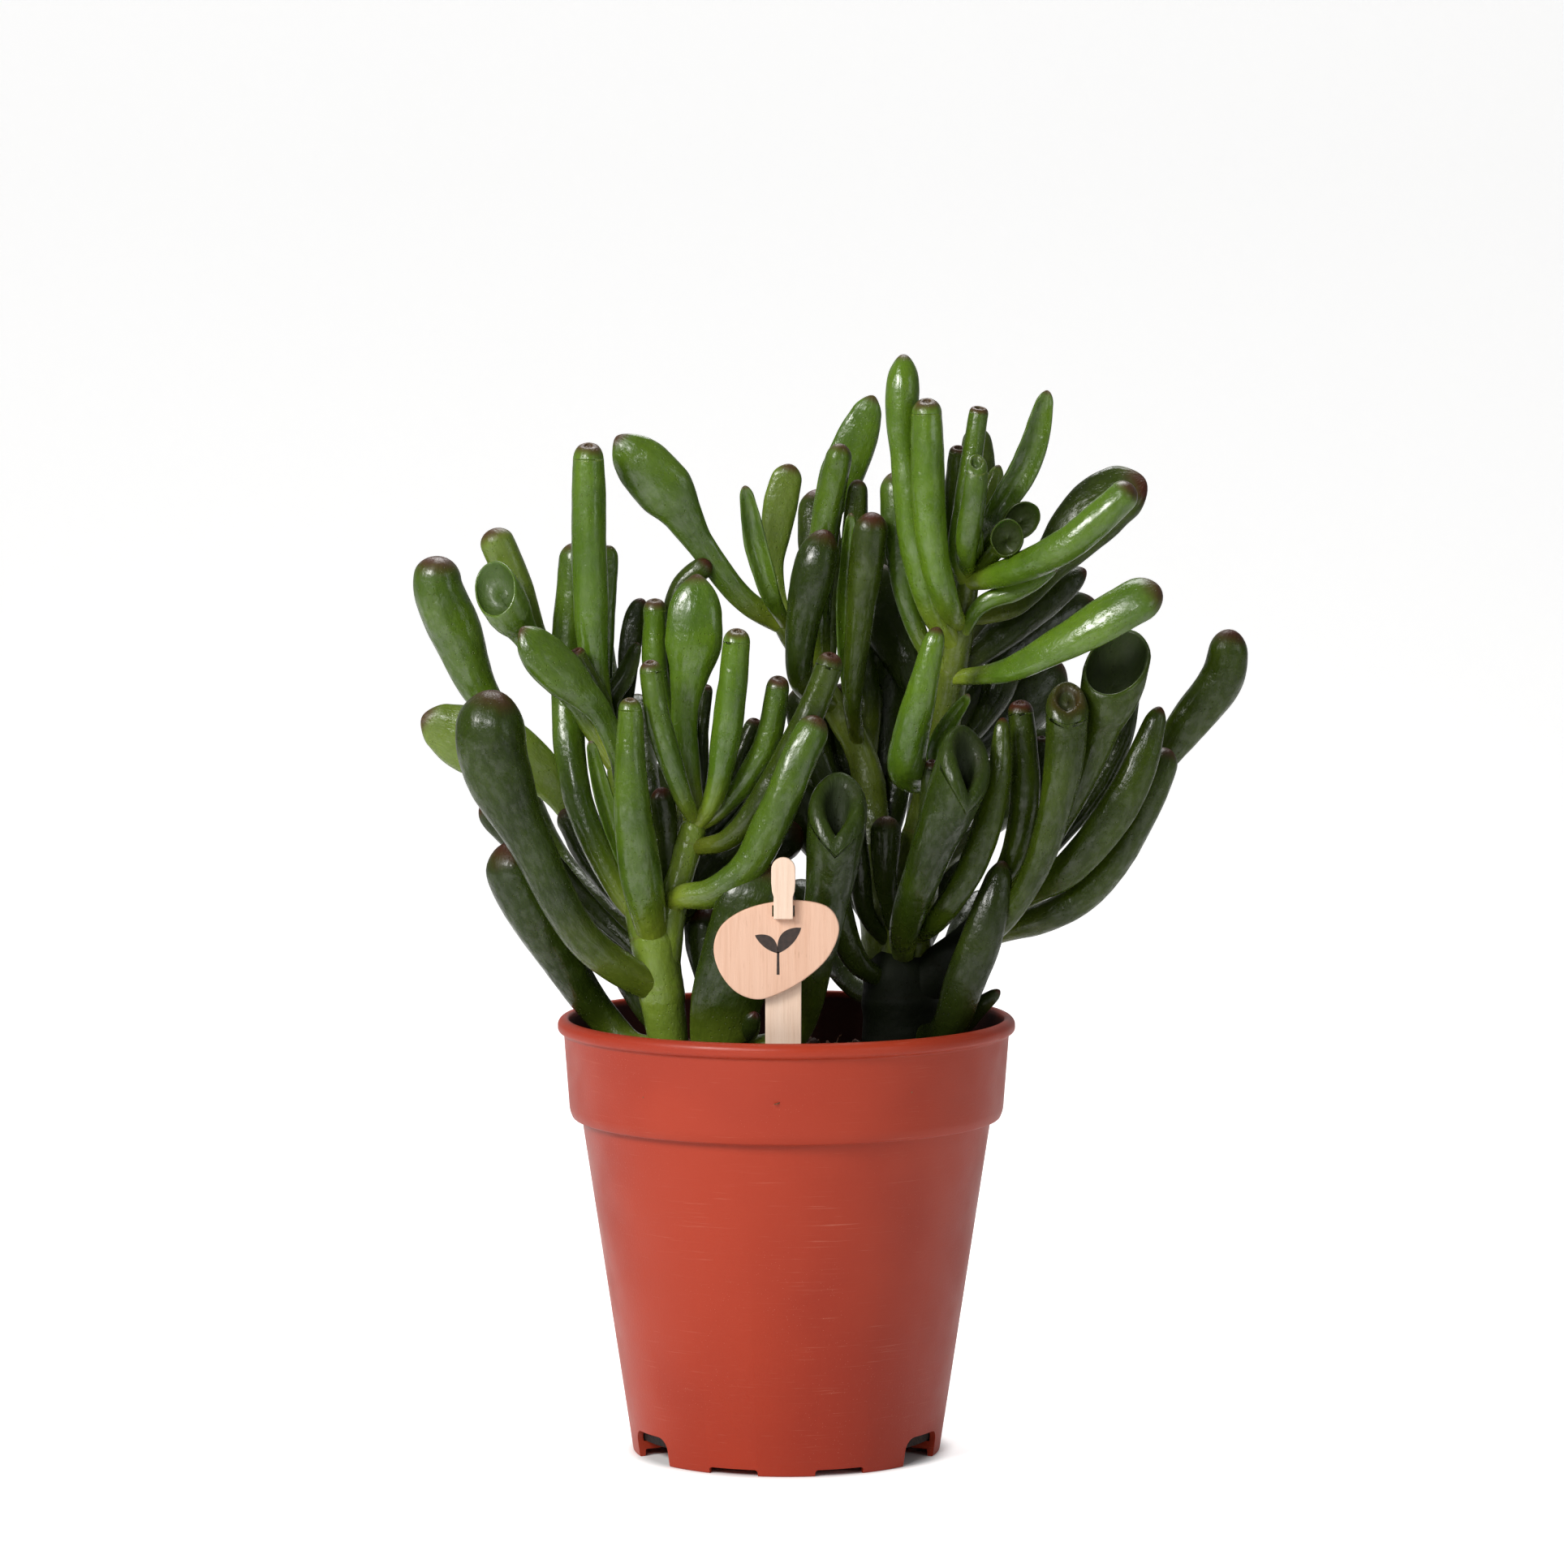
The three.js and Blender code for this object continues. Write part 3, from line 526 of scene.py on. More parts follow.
def leaf_skin_group() -> bpy.types.NodeTree:
    """Return the shared group that colours leaves and stems."""
    inputs: dict[str, object] = {
        "Vector": None, "Skin": None, "Along": 0.5, "Rim": 0.0, "Inside": 0.0,
        "Body": (0.1, 0.2, 0.03, 1.0), "Deep": (0.03, 0.08, 0.02, 1.0),
        "Base": (0.3, 0.4, 0.1, 1.0), "Tip": (0.1, 0.02, 0.02, 1.0),
        "Base Reach": 0.3, "Tip Amount": 1.0, "Mottle": 0.5,
    }

    def build(graph: Graph, given: Sockets) -> dict[str, object]:
        """Layer broad mottling, streaks, pores, the pale base, the maroon tip and painted shade down the
        hollow.
        """
        place = given["Vector"]
        broad = graph.noise(place, 70.0, 3.0, 0.55)
        streak = graph.noise(graph.stretch(given["Skin"], (900.0, 110.0, 1.0)), 1.0, 3.0, 0.6)
        fine = graph.noise(place, 900.0, 3.0, 0.6)
        depth = graph.times(graph.fade(broad, 0.34, 0.68), given["Mottle"])
        colour = graph.mix(depth, given["Body"], given["Deep"])
        colour = graph.mix(graph.fade(streak, 0.5, 0.8, 0.0, 0.06), colour, given["Base"])
        colour = graph.mix(graph.fade(fine, 0.35, 0.7, 0.0, 0.16), colour, given["Deep"])
        uneven = graph.minus(broad, 0.5)
        reach = graph.math("MAXIMUM", graph.plus(given["Base Reach"], graph.times(uneven, 0.5)), 0.02)
        to_base = graph.minus(1.0, graph.math("DIVIDE", given["Along"], reach))
        colour = graph.mix(graph.fade(to_base, 0.0, 1.0, 0.0, 0.92), colour, given["Base"])
        pore = graph.fade(graph.cells(place, 1150.0), 0.08, 0.22, 1.0, 0.0)
        shown = graph.fade(graph.noise(place, 240.0, 2.0), 0.4, 0.62)
        pores = graph.times(pore, shown)
        colour = graph.mix(graph.times(pores, 0.22), colour, given["Base"])
        edge = graph.plus(given["Rim"], graph.times(uneven, 0.9))
        red = graph.times(graph.fade(edge, 0.2, 0.8), given["Tip Amount"])
        colour = graph.mix(red, colour, given["Tip"])
        # Painted shade: darken the colour towards the deep colour the further it is down the hollow of an
        # open tip.
        colour = graph.mix(graph.times(given["Inside"], 0.72), colour, given["Deep"])
        wax = graph.noise(place, 170.0, 3.0, 0.5)
        wet = graph.noise(graph.stretch(given["Skin"], (620.0, 300.0, 1.0)), 1.0, 3.0, 0.6)
        rough = graph.plus(graph.fade(wax, 0.3, 0.75, 0.2, 0.38), graph.times(pores, 0.2))
        rough = graph.plus(rough, graph.times(given["Rim"], 0.2))
        rough = graph.plus(rough, graph.times(given["Inside"], 0.4))
        dry = graph.minus(1.0, graph.times(given["Rim"], 0.9))
        dry = graph.times(dry, graph.minus(1.0, given["Inside"]))
        height = graph.plus(graph.times(wax, 0.8), graph.times(wet, 0.3))
        height = graph.plus(height, graph.times(fine, 0.12))
        height = graph.minus(height, graph.times(pores, 0.25))
        height = graph.times(height, graph.fade(given["Along"], 0.0, 0.07))
        coat = graph.times(graph.fade(wet, 0.42, 0.62), dry)
        return {"Colour": colour, "Roughness": rough, "Height": height, "Wet": coat}

    outputs = {"Colour": "Color", "Roughness": "Float", "Height": "Float", "Wet": "Float"}
    return shader_group("leaf_skin", inputs, outputs, build)


@dataclass(frozen=True)
class LeafFinish:
    """The look of one age of leaf.

    Attributes:
        name: Name of the material.
        body: Main colour.
        deep: Colour of the darker patches, and of the painted shade down an open tip's hollow.
        base: Colour near the stem.
        tip: Colour of the rim or tip.
        base_reach: Share of the leaf that the pale base covers.
        tip_amount: Strength of the tip colour.
        coat: Weight of the wet-looking coat.
        glow: Share of light that passes through the flesh.
        mottle: Strength of the darker patches.
        dull: Added roughness.
        shine: Strength of the surface's own reflection.
    """

    name: str
    body: Colour
    deep: Colour
    base: Colour
    tip: Colour = srgb(70, 20, 17)
    base_reach: float = 0.3
    tip_amount: float = 0.85
    coat: float = 0.8
    glow: float = 0.12
    mottle: float = 0.55
    dull: float = 0.0
    shine: float = 0.5

    def make(self) -> bpy.types.Material:
        """Build the material.

        Returns:
            The material.
        """
        material, graph, shader = new_material(self.name)
        skin = graph.add("ShaderNodeUVMap", uv_map="skin").outputs[0]
        group = use_group(
            graph, leaf_skin_group(), Vector=graph.place(), Skin=skin,
            Along=graph.attribute("along"), Rim=graph.attribute("rim"), Inside=graph.attribute("inside"),
            Body=self.body, Deep=self.deep, Base=self.base, Tip=self.tip,
            Base_Reach=self.base_reach, Tip_Amount=self.tip_amount, Mottle=self.mottle,
        )
        graph.fill(
            shader, Base_Color=group.outputs["Colour"],
            Roughness=graph.plus(group.outputs["Roughness"], self.dull),
            Coat_Weight=graph.times(group.outputs["Wet"], self.coat), Coat_Roughness=0.13,
            Specular_IOR_Level=self.shine, Subsurface_Weight=self.glow,
            Subsurface_Radius=(0.0022, 0.0034, 0.0008), Subsurface_Scale=1.0,
            Normal=bump(graph, group.outputs["Height"], 0.0006),
        )
        return material


class Look(Enum):
    """The ages of leaf and stem on the plant, plus copies whose colour paints light or shade: a paler backlit
    leaf and darker leaves in shade.
    """

    FRESH = LeafFinish("leaf_fresh", srgb(78, 104, 20), srgb(42, 64, 16), srgb(130, 146, 44))
    LIVELY = LeafFinish("leaf_lively", srgb(88, 118, 22), srgb(52, 80, 18), srgb(136, 152, 46))
    DEEP = LeafFinish("leaf_deep", srgb(46, 62, 10), srgb(22, 32, 6), srgb(104, 120, 34), base_reach=0.4,
                      coat=0.6, shine=0.3)
    SHADED = LeafFinish("leaf_shaded", srgb(58, 74, 11), srgb(28, 39, 7), srgb(100, 111, 30), coat=0.5,
                        shine=0.3)
    # Painted shade: the darkest copy, for leaves deep in the foliage and behind, coloured as they look in
    # shadow.
    DUSKY = LeafFinish("leaf_dusky", srgb(45, 57, 14), srgb(22, 31, 9), srgb(54, 64, 20), coat=0.35,
                       shine=0.3)
    BACKLIT = LeafFinish("leaf_backlit", srgb(104, 124, 40), srgb(74, 92, 30), srgb(138, 152, 60), glow=0.3,
                         coat=0.3, mottle=0.35)
    STEM = LeafFinish("stem_light", srgb(118, 140, 46), srgb(86, 108, 34), srgb(142, 158, 62),
                      tip=srgb(92, 84, 34), base_reach=0.1, tip_amount=0.6, coat=0.5, glow=0.1)
    OLD_STEM = LeafFinish("stem_old", srgb(22, 29, 11), srgb(10, 13, 7), srgb(38, 44, 16),
                          tip=srgb(26, 24, 13), base_reach=0.05, tip_amount=0.5, coat=0.0, glow=0.03,
                          dull=0.35, shine=0.2)
    BRANCH = LeafFinish("stem_branch", srgb(98, 112, 34), srgb(50, 64, 20), srgb(128, 138, 50),
                        tip=srgb(88, 74, 30), base_reach=0.02, tip_amount=0.5, coat=0.4, glow=0.08)


@dataclass(frozen=True)
class PotFinish:
    """Satin moulded plastic with scratches that run round the pot, scuffs and dust, and painted shade on the
    inner wall below the lip.
    """

    body: Colour = srgb(172, 57, 31)
    dark: Colour = srgb(150, 44, 26)
    pale: Colour = srgb(214, 140, 118)
    shadow: Colour = srgb(24, 9, 8)
    mean_radius: float = 0.04
    long_scratches: Point = (64.0, 2600.0, 1.0)
    short_scratches: Point = (140.0, 3800.0, 1.0)

    def make(self) -> bpy.types.Material:
        """Build the material.

        Returns:
            The material.
        """
        material, graph, shader = new_material("pot_plastic")
        place = graph.place()
        axes = graph.add("ShaderNodeSeparateXYZ")
        graph.feed(axes.inputs[0], place)
        turn = graph.math("ARCTAN2", axes.outputs[0], graph.times(axes.outputs[1], -1.0))
        wrap = graph.add("ShaderNodeCombineXYZ")
        around = graph.fill(wrap, X=graph.times(turn, self.mean_radius), Y=axes.outputs[2]).outputs[0]
        long_scratch = graph.noise(graph.stretch(around, self.long_scratches), 1.0, 3.0, 0.6)
        short_scratch = graph.noise(graph.stretch(around, self.short_scratches), 1.0, 2.0, 0.5)
        patch = graph.fade(graph.noise(place, 38.0, 3.0, 0.6), 0.4, 0.65)
        lines = graph.times(graph.fade(long_scratch, 0.6, 0.74), patch)
        ticks = graph.times(graph.fade(short_scratch, 0.66, 0.78), graph.minus(1.0, patch))
        marks = graph.math("MAXIMUM", lines, graph.times(ticks, 0.6))
        cloud = graph.fade(graph.noise(place, 22.0, 3.0), 0.35, 0.65, 0.0, 0.5)
        colour = graph.mix(cloud, self.body, self.dark)
        colour = graph.mix(graph.times(marks, 0.28), colour, self.pale)
        dust = use_group(graph, dust_group(), Vector=place, Scale=1500.0, Size=0.1).outputs[0]
        colour = graph.mix(graph.times(dust, 0.4), colour, self.pale)
        # Painted shade: darken the inner wall below the lip towards the shadow colour.
        colour = graph.mix(graph.times(graph.attribute("edge"), 0.92), colour, self.shadow)
        satin = graph.fade(graph.noise(place, 90.0, 4.0), 0.3, 0.7, 0.34, 0.46)
        height = graph.plus(graph.times(long_scratch, 0.35), graph.noise(place, 2200.0, 2.0))
        graph.fill(
            shader, Base_Color=colour, Specular_IOR_Level=0.35,
            Roughness=graph.plus(satin, graph.times(marks, 0.12)),
            Subsurface_Weight=0.06, Subsurface_Radius=(0.002, 0.0006, 0.0003), Subsurface_Scale=1.0,
            Normal=bump(graph, height, 0.00003),
        )
        return material


@dataclass(frozen=True)
class SoilFinish:
    """Damp compost, crumbs, bark or perlite.

    Attributes:
        name: Name of the material.
        dark: Colour in the hollows of the bump: painted shade along with the soil's own darker tone.
        light: Colour on the high spots.
        scale: Size of the grain, per metre.
        rough: Roughness.
    """

    name: str
    dark: Colour
    light: Colour
    scale: float = 900.0
    rough: float = 0.85

    def make(self) -> bpy.types.Material:
        """Build the material.

        Returns:
            The material.
        """
        material, graph, shader = new_material(self.name)
        place = graph.place()
        grain = graph.noise(place, self.scale, 5.0, 0.65)
        lump = graph.noise(place, self.scale / 7, 3.0, 0.6)
        # The colour follows the bump's noise: painted shade in its hollows on top of the soil's own uneven
        # tone.
        shade = graph.times(graph.fade(grain, 0.35, 0.7), graph.fade(lump, 0.3, 0.7))
        graph.fill(
            shader, Base_Color=graph.mix(shade, self.dark, self.light),
            Roughness=graph.fade(lump, 0.3, 0.7, self.rough - 0.2, self.rough + 0.1),
            Normal=bump(graph, graph.plus(grain, lump), 0.0006),
        )
        return material


@dataclass(frozen=True)
class WoodFinish:
    """Thin unvarnished wood with fine upright grain.

    Attributes:
        name: Name of the material.
        pale: Colour of the early wood.
        grain: Colour of the grain lines.
        edge: Colour of the cut edge.
        fine: Fine grain lines per metre along each axis.
        broad: Broad bands per metre along each axis.
        flecks: Flecks per metre along each axis.
    """

    name: str
    pale: Colour
    grain: Colour
    edge: Colour
    fine: Point = (1500.0, 1500.0, 60.0)
    broad: Point = (260.0, 260.0, 24.0)
    flecks: Point = (2600.0, 2600.0, 320.0)

    def make(self) -> bpy.types.Material:
        """Build the material.

        Returns:
            The material.
        """
        material, graph, shader = new_material(self.name)
        place = graph.place()
        lines = graph.noise(graph.stretch(place, self.fine), 1.0, 4.0, 0.6, 0.4)
        broad = graph.noise(graph.stretch(place, self.broad), 1.0, 3.0)
        flecks = graph.noise(graph.stretch(place, self.flecks), 1.0, 2.0)
        colour = graph.mix(graph.fade(lines, 0.42, 0.7, 0.0, 0.45), self.pale, self.grain)
        colour = graph.mix(graph.fade(broad, 0.4, 0.7, 0.0, 0.35), colour, self.grain)
        colour = graph.mix(graph.fade(flecks, 0.66, 0.76, 0.0, 0.35), colour, self.edge)
        colour = graph.mix(graph.times(graph.attribute("edge"), 0.85), colour, self.edge)
        graph.fill(
            shader, Base_Color=colour, Roughness=graph.fade(lines, 0.3, 0.7, 0.55, 0.75),
            Normal=bump(graph, graph.plus(lines, graph.times(flecks, 0.5)), 0.00006),
        )
        return material


@dataclass(frozen=True)
class InkFinish:
    """Printed ink with a light grain."""

    name: str
    colour: Colour
    shade: Colour
    rough: float = 0.7
    scale: float = 1200.0

    def make(self) -> bpy.types.Material:
        """Build the material.

        Returns:
            The material.
        """
        material, graph, shader = new_material(self.name)
        grain = graph.noise(graph.place(), self.scale, 4.0, 0.6)
        graph.fill(
            shader, Base_Color=graph.mix(graph.fade(grain, 0.35, 0.65), self.colour, self.shade),
            Roughness=graph.fade(grain, 0.3, 0.7, self.rough - 0.1, self.rough + 0.1),
            Normal=bump(graph, grain, 0.00004),
        )
        return material


# ---------------------------------------------------------------- leaf forms and tips


@dataclass(frozen=True)
class Tip:
    """How a leaf ends. Lengths are shares of the half-width at the end.

    Attributes:
        round_over: Height of the rounding before the end.
        crest: Radius of the lip's highest ring, 0 where the tip is closed.
        fall: Drop from the lip to the hollow's mouth.
        mouth: Radius of the hollow's mouth.
        depth: Depth of the hollow.
        lean: How far the lip is lowered on the side that the leaf faces.
        pinch: 0 for an even lip, 1 for one that comes to a point on the lowered side.
        blush: Strength of the maroon on the tip.
    """

    round_over: float = 1.0
    crest: float = 0.0
    fall: float = 0.0
    mouth: float = 0.0
    depth: float = 0.0
    lean: float = 0.0
    pinch: float = 0.0
    blush: float = 1.0


class End(Enum):
    """The kinds of leaf tip."""

    ROUND = Tip(1.2)
    BLUNT = Tip(0.9)
    POINT = Tip(1.9)
    DIMPLE = Tip(0.95, 0.4, 0.14, 0.2, 0.1, 0.3)
    RING = Tip(0.6, 0.62, 0.25, 0.4, 0.4, 0.35)
    CUP = Tip(0.16, 0.92, 0.12, 0.86, 1.6, 1.9, blush=0.15)
    BOWL = Tip(0.14, 0.93, 0.1, 0.88, 1.1, 1.7, blush=0.12)
    SLIT = Tip(0.75, 0.68, 0.5, 0.38, 1.6, 2.1, 0.9, blush=0.3)
    LIPPED = Tip(0.8, 0.6, 0.4, 0.4, 0.5, 1.3, 0.3, blush=0.4)


@dataclass(frozen=True)
class Form:
    """The outline of a leaf.

    Attributes:
        rows: Width as a share of the widest, along the leaf.
        end: How it ends.
        dish: How far the face is pressed in, above 1 for a channel.
    """

    rows: tuple[Row, ...]
    end: End
    dish: float = 0.0


BLADE_ROWS = ((0, 0.5), (0.15, 0.6), (0.4, 0.88), (0.62, 1), (0.8, 0.86), (0.93, 0.62), (1, 0.45))


class Shape(Enum):
    """The outlines that the leaves share."""

    FINGER = Form(
        ((0, 0.5), (0.12, 0.62), (0.32, 0.82), (0.55, 1), (0.8, 0.94), (0.94, 0.88), (1, 0.86)), End.DIMPLE)
    CLUB = Form(
        ((0, 0.4), (0.12, 0.48), (0.35, 0.62), (0.6, 0.82), (0.8, 1), (0.92, 1), (1, 0.94)), End.ROUND)
    PADDLE = Form(
        ((0, 0.38), (0.15, 0.42), (0.4, 0.55), (0.62, 0.88), (0.77, 1), (0.9, 0.9), (1, 0.66)),
        End.ROUND, 0.3)
    BLADE = Form(BLADE_ROWS, End.POINT)
    FOLDED = Form(BLADE_ROWS, End.POINT, 1.35)
    TUBE = Form(((0, 0.5), (0.12, 0.68), (0.35, 0.9), (0.6, 1), (0.82, 0.97), (1, 0.86)), End.ROUND)
    LADLE = Form(
        ((0, 0.38), (0.2, 0.42), (0.45, 0.48), (0.6, 0.7), (0.73, 1), (0.84, 0.95), (0.94, 0.68), (1, 0.42)),
        End.ROUND, 0.12)
    WAISTED = Form(
        ((0, 0.5), (0.12, 0.72), (0.35, 0.96), (0.55, 0.88), (0.67, 0.8), (0.8, 0.98), (0.88, 1), (1, 0.66)),
        End.POINT)
    KNOB = Form(
        ((0, 0.42), (0.15, 0.51), (0.4, 0.56), (0.6, 0.65), (0.77, 0.95), (0.87, 1), (1, 0.84)), End.ROUND)
    SPOON = Form(
        ((0, 0.36), (0.15, 0.41), (0.4, 0.45), (0.58, 0.55), (0.73, 0.82), (0.84, 1), (1, 0.84)), End.BLUNT)
    SPIRE = Form(
        ((0, 0.55), (0.12, 0.8), (0.35, 1), (0.6, 0.87), (0.8, 0.7), (0.94, 0.56), (1, 0.5)), End.ROUND)
    CUPPED = Form(
        ((0, 0.38), (0.14, 0.42), (0.45, 0.48), (0.7, 0.6), (0.86, 0.92), (0.95, 1), (1, 1)), End.CUP)
    TRUMPET = Form(((0, 0.42), (0.14, 0.48), (0.38, 0.6), (0.62, 0.76), (0.85, 0.96), (1, 1)), End.SLIT)


class Face(Enum):
    """The ways that a leaf's flatter side can look."""

    FRONT = (0.0, -1.0, 0.0)
    FRONT_AND_LEFT = (-0.35, -0.94, 0.0)
    FRONT_AND_RIGHT = (0.5, -0.87, 0.0)
    FRONT_UP = (0.0, -0.8, 0.6)
    BACK = (0.0, 1.0, 0.3)


class Bearer(Enum):
    """The stems that carry leaves."""

    LEFT = "left"
    SIDE = "side"
    RIGHT = "right"
    UPPER = "upper"
    OFFSHOOT = "offshoot"
    CENTRE = "centre"
    FRONT = "front"


@dataclass(frozen=True)
class Leaf:
    """One leaf. Lengths are millimetres; heights are above the soil.

    Attributes:
        bearer: The stem that it grows from.
        base: Height of its base on the stem.
        shape: Its outline.
        width: Its widest width.
        flatness: Its thickness as a share of the width.
        face: The way its flatter side looks.
        points: What it passes through from base to tip, the last being its tip.
        look: Its colouring.
        end: How it ends, where that differs from its outline's.
    """

    bearer: Bearer
    base: float
    shape: Shape
    width: float
    flatness: float
    face: Face
    points: tuple[Point, ...]
    look: Look
    end: End | None = None


def front_leaf(bearer: Bearer, base: float, shape: Shape, width: float, flatness: float, *points: Point,
               look: Look = Look.DUSKY, end: End | None = None) -> Leaf:
    """Return a leaf whose flatter side looks to the front."""
    return Leaf(bearer, base, shape, width, flatness, Face.FRONT, points, look, end)


def back_leaf(bearer: Bearer, base: float, shape: Shape, width: float, flatness: float, *points: Point,
              look: Look = Look.DUSKY) -> Leaf:
    """Return a leaf whose flatter side looks to the back."""
    return Leaf(bearer, base, shape, width, flatness, Face.BACK, points, look)


# ---------------------------------------------------------------- leaf tables

LEFT_LEAVES = (
    front_leaf(Bearer.LEFT, 16, Shape.KNOB, 13.4, 0.92, (-34, -17, 22.5), (-40.5, -20, 29.3),
               (-49.2, -23, 46.2), (-56.6, -24, 64), (-56.4, -24, 76), look=Look.DEEP),
    front_leaf(Bearer.LEFT, 5, Shape.CLUB, 10.8, 0.92, (-30.5, -5, 5), (-35.6, -3, 9.5), (-43, -7, 20.5),
               (-51.8, -13, 37), (-54.6, -14, 45.5), look=Look.DEEP),
    front_leaf(Bearer.LEFT, 24, Shape.SPIRE, 8.2, 0.9, (-27.5, -17, 36), (-29.7, -20, 52),
               (-30.2, -20, 74.2), look=Look.FRESH, end=End.DIMPLE),
    Leaf(Bearer.LEFT, 50, Shape.LADLE, 9.8, 0.6, Face.FRONT_UP, ((-32.3, -12, 62), (-36.2, -14, 71),
         (-40.5, -15, 75.8), (-46, -16, 81), (-51.2, -17, 87.6)), Look.FRESH, End.POINT),
    front_leaf(Bearer.LEFT, 60, Shape.FINGER, 7, 1, (-36.8, -5, 74), (-38.2, -6, 95), (-38.5, -6, 122.9),
               look=Look.LIVELY, end=End.DIMPLE),
    front_leaf(Bearer.LEFT, 28, Shape.TUBE, 6.4, 0.95, (-33, -9, 36), (-41, -5, 54.5), (-43, 1, 76),
               (-41.5, 3, 103), look=Look.FRESH),
    Leaf(Bearer.LEFT, 58, Shape.CUPPED, 9.4, 0.95, Face.FRONT_AND_LEFT, ((-40, -3, 70), (-47.5, -6, 80.5),
         (-54, -8, 90.5), (-58.8, -10, 98)), Look.FRESH, End.BOWL),
    front_leaf(Bearer.LEFT, 55, Shape.CLUB, 6.9, 0.8, (-38.5, 2, 71), (-47.8, 3, 80.5), (-51.8, 3, 90),
               (-54.6, 3, 98), (-57.9, 3, 105.7), look=Look.BACKLIT, end=End.BLUNT),
    front_leaf(Bearer.LEFT, 36, Shape.SPOON, 10.4, 0.9, (-40.5, 5, 47), (-51, 7, 61), (-60.4, 8, 73.5),
               (-64.6, 8, 84), (-68.6, 8, 94), (-68.4, 8, 100.2), look=Look.FRESH, end=End.BLUNT),
    front_leaf(Bearer.LEFT, 34, Shape.LADLE, 13.6, 0.4, (-41, 0, 50), (-51, 0, 60), (-60, 0, 63.5),
               (-71.5, 0, 69), look=Look.BACKLIT),
    front_leaf(Bearer.SIDE, 49, Shape.FINGER, 5, 1, (-19.6, -14, 53.3), (-24.4, -16, 68),
               (-26.5, -16, 81.2), look=Look.FRESH),
    front_leaf(Bearer.SIDE, 49, Shape.LADLE, 11.4, 0.6, (-19, -7, 57), (-19.8, -7, 67.5), (-18.3, -6, 83),
               (-17.3, -5, 97.3), look=Look.LIVELY, end=End.POINT),
    front_leaf(Bearer.SIDE, 48, Shape.FINGER, 6, 1, (-14.2, -12, 54), (-11.2, -14, 70), (-9.4, -14, 87.2),
               look=Look.LIVELY),
    front_leaf(Bearer.SIDE, 48, Shape.FINGER, 5.2, 1, (-12.8, -9, 51.5), (-4.5, -10, 63), (-1.2, -10, 77.7),
               look=Look.FRESH),
    front_leaf(Bearer.SIDE, 33, Shape.TUBE, 7.4, 0.95, (-20.5, -15, 35), (-14.6, -18, 36.2),
               (-7.7, -20, 41), (-2.9, -21, 50), (2.1, -21, 61.7), (6.3, -20, 70.6), look=Look.FRESH),
    front_leaf(Bearer.SIDE, 44, Shape.FINGER, 6, 0.95, (-11, -14, 46.5), (-1.5, -16, 59), (5.6, -16, 73),
               (9, -16, 82.6), look=Look.SHADED),
    front_leaf(Bearer.SIDE, 49, Shape.FINGER, 5.2, 1, (-21.5, -3, 62), (-25.4, -1, 76), (-25.8, 0, 92.3),
               look=Look.LIVELY),
    back_leaf(Bearer.LEFT, 22, Shape.CLUB, 8.4, 0.9, (-36, 4, 31), (-45, 14, 38), (-53, 22, 50),
              (-56, 26, 60), look=Look.SHADED),
    back_leaf(Bearer.LEFT, 52, Shape.FINGER, 7, 0.95, (-34, 8, 66), (-37, 20, 77), (-39.5, 28, 90),
              look=Look.SHADED),
    back_leaf(Bearer.SIDE, 38, Shape.CLUB, 8.4, 0.9, (-20.5, 0, 42), (-22, 16, 47), (-24, 31, 57),
              look=Look.SHADED),
)

FRONT_LEAVES = (
    front_leaf(Bearer.FRONT, 5, Shape.TRUMPET, 11.6, 0.95, (1, -18, 8), (5.6, -23, 24), (8.8, -24, 42.5),
               (10.3, -23, 60), look=Look.DEEP),
    front_leaf(Bearer.FRONT, 4, Shape.TUBE, 15.4, 0.45, (-12.5, -18, 6), (-11.7, -19, 14), (-8.6, -20, 25),
               (-5.6, -20, 35), (-3.8, -19, 42.2), look=Look.DEEP),
)

CENTRE_LEAVES = (
    front_leaf(Bearer.CENTRE, 87, Shape.LADLE, 11.4, 0.5, (-6, 8, 89.8), (-11.3, 6, 95), (-17.2, 5, 103),
               (-22.6, 3, 111.5), (-33.2, 2, 124), look=Look.FRESH, end=End.POINT),
    front_leaf(Bearer.CENTRE, 85, Shape.PADDLE, 6.9, 0.5, (-2.4, 16, 96), (-1.6, 17, 108), (0.9, 17, 118),
               look=Look.BACKLIT),
    front_leaf(Bearer.CENTRE, 70, Shape.CLUB, 8.4, 0.9, (3, 3, 76), (3, 0, 86), (5.3, -1, 97.5),
               (8, -1, 105.7), look=Look.DEEP, end=End.POINT),
    front_leaf(Bearer.CENTRE, 74, Shape.LADLE, 8.8, 0.45, (6.6, 16, 92), (7.5, 17, 106), (13.5, 17, 122),
               (17.2, 16, 131.6), look=Look.LIVELY, end=End.POINT),
    front_leaf(Bearer.CENTRE, 74, Shape.TUBE, 5.8, 0.9, (6.3, 8, 90), (7.5, 6, 105), (10.8, 4, 122.4),
               look=Look.FRESH),
    front_leaf(Bearer.CENTRE, 62, Shape.CLUB, 6.8, 0.9, (13, 3, 72), (13.9, 0, 84), (15.5, -3, 99),
               (17, -4, 109.3), look=Look.SHADED),
    back_leaf(Bearer.CENTRE, 58, Shape.FINGER, 8, 0.95, (16, 21, 72), (15, 32, 86), (14, 40, 104),
              look=Look.SHADED),
    back_leaf(Bearer.CENTRE, 72, Shape.PADDLE, 8.6, 0.6, (8, 25, 84), (7, 36, 97), (6, 43, 112),
              look=Look.SHADED),
)

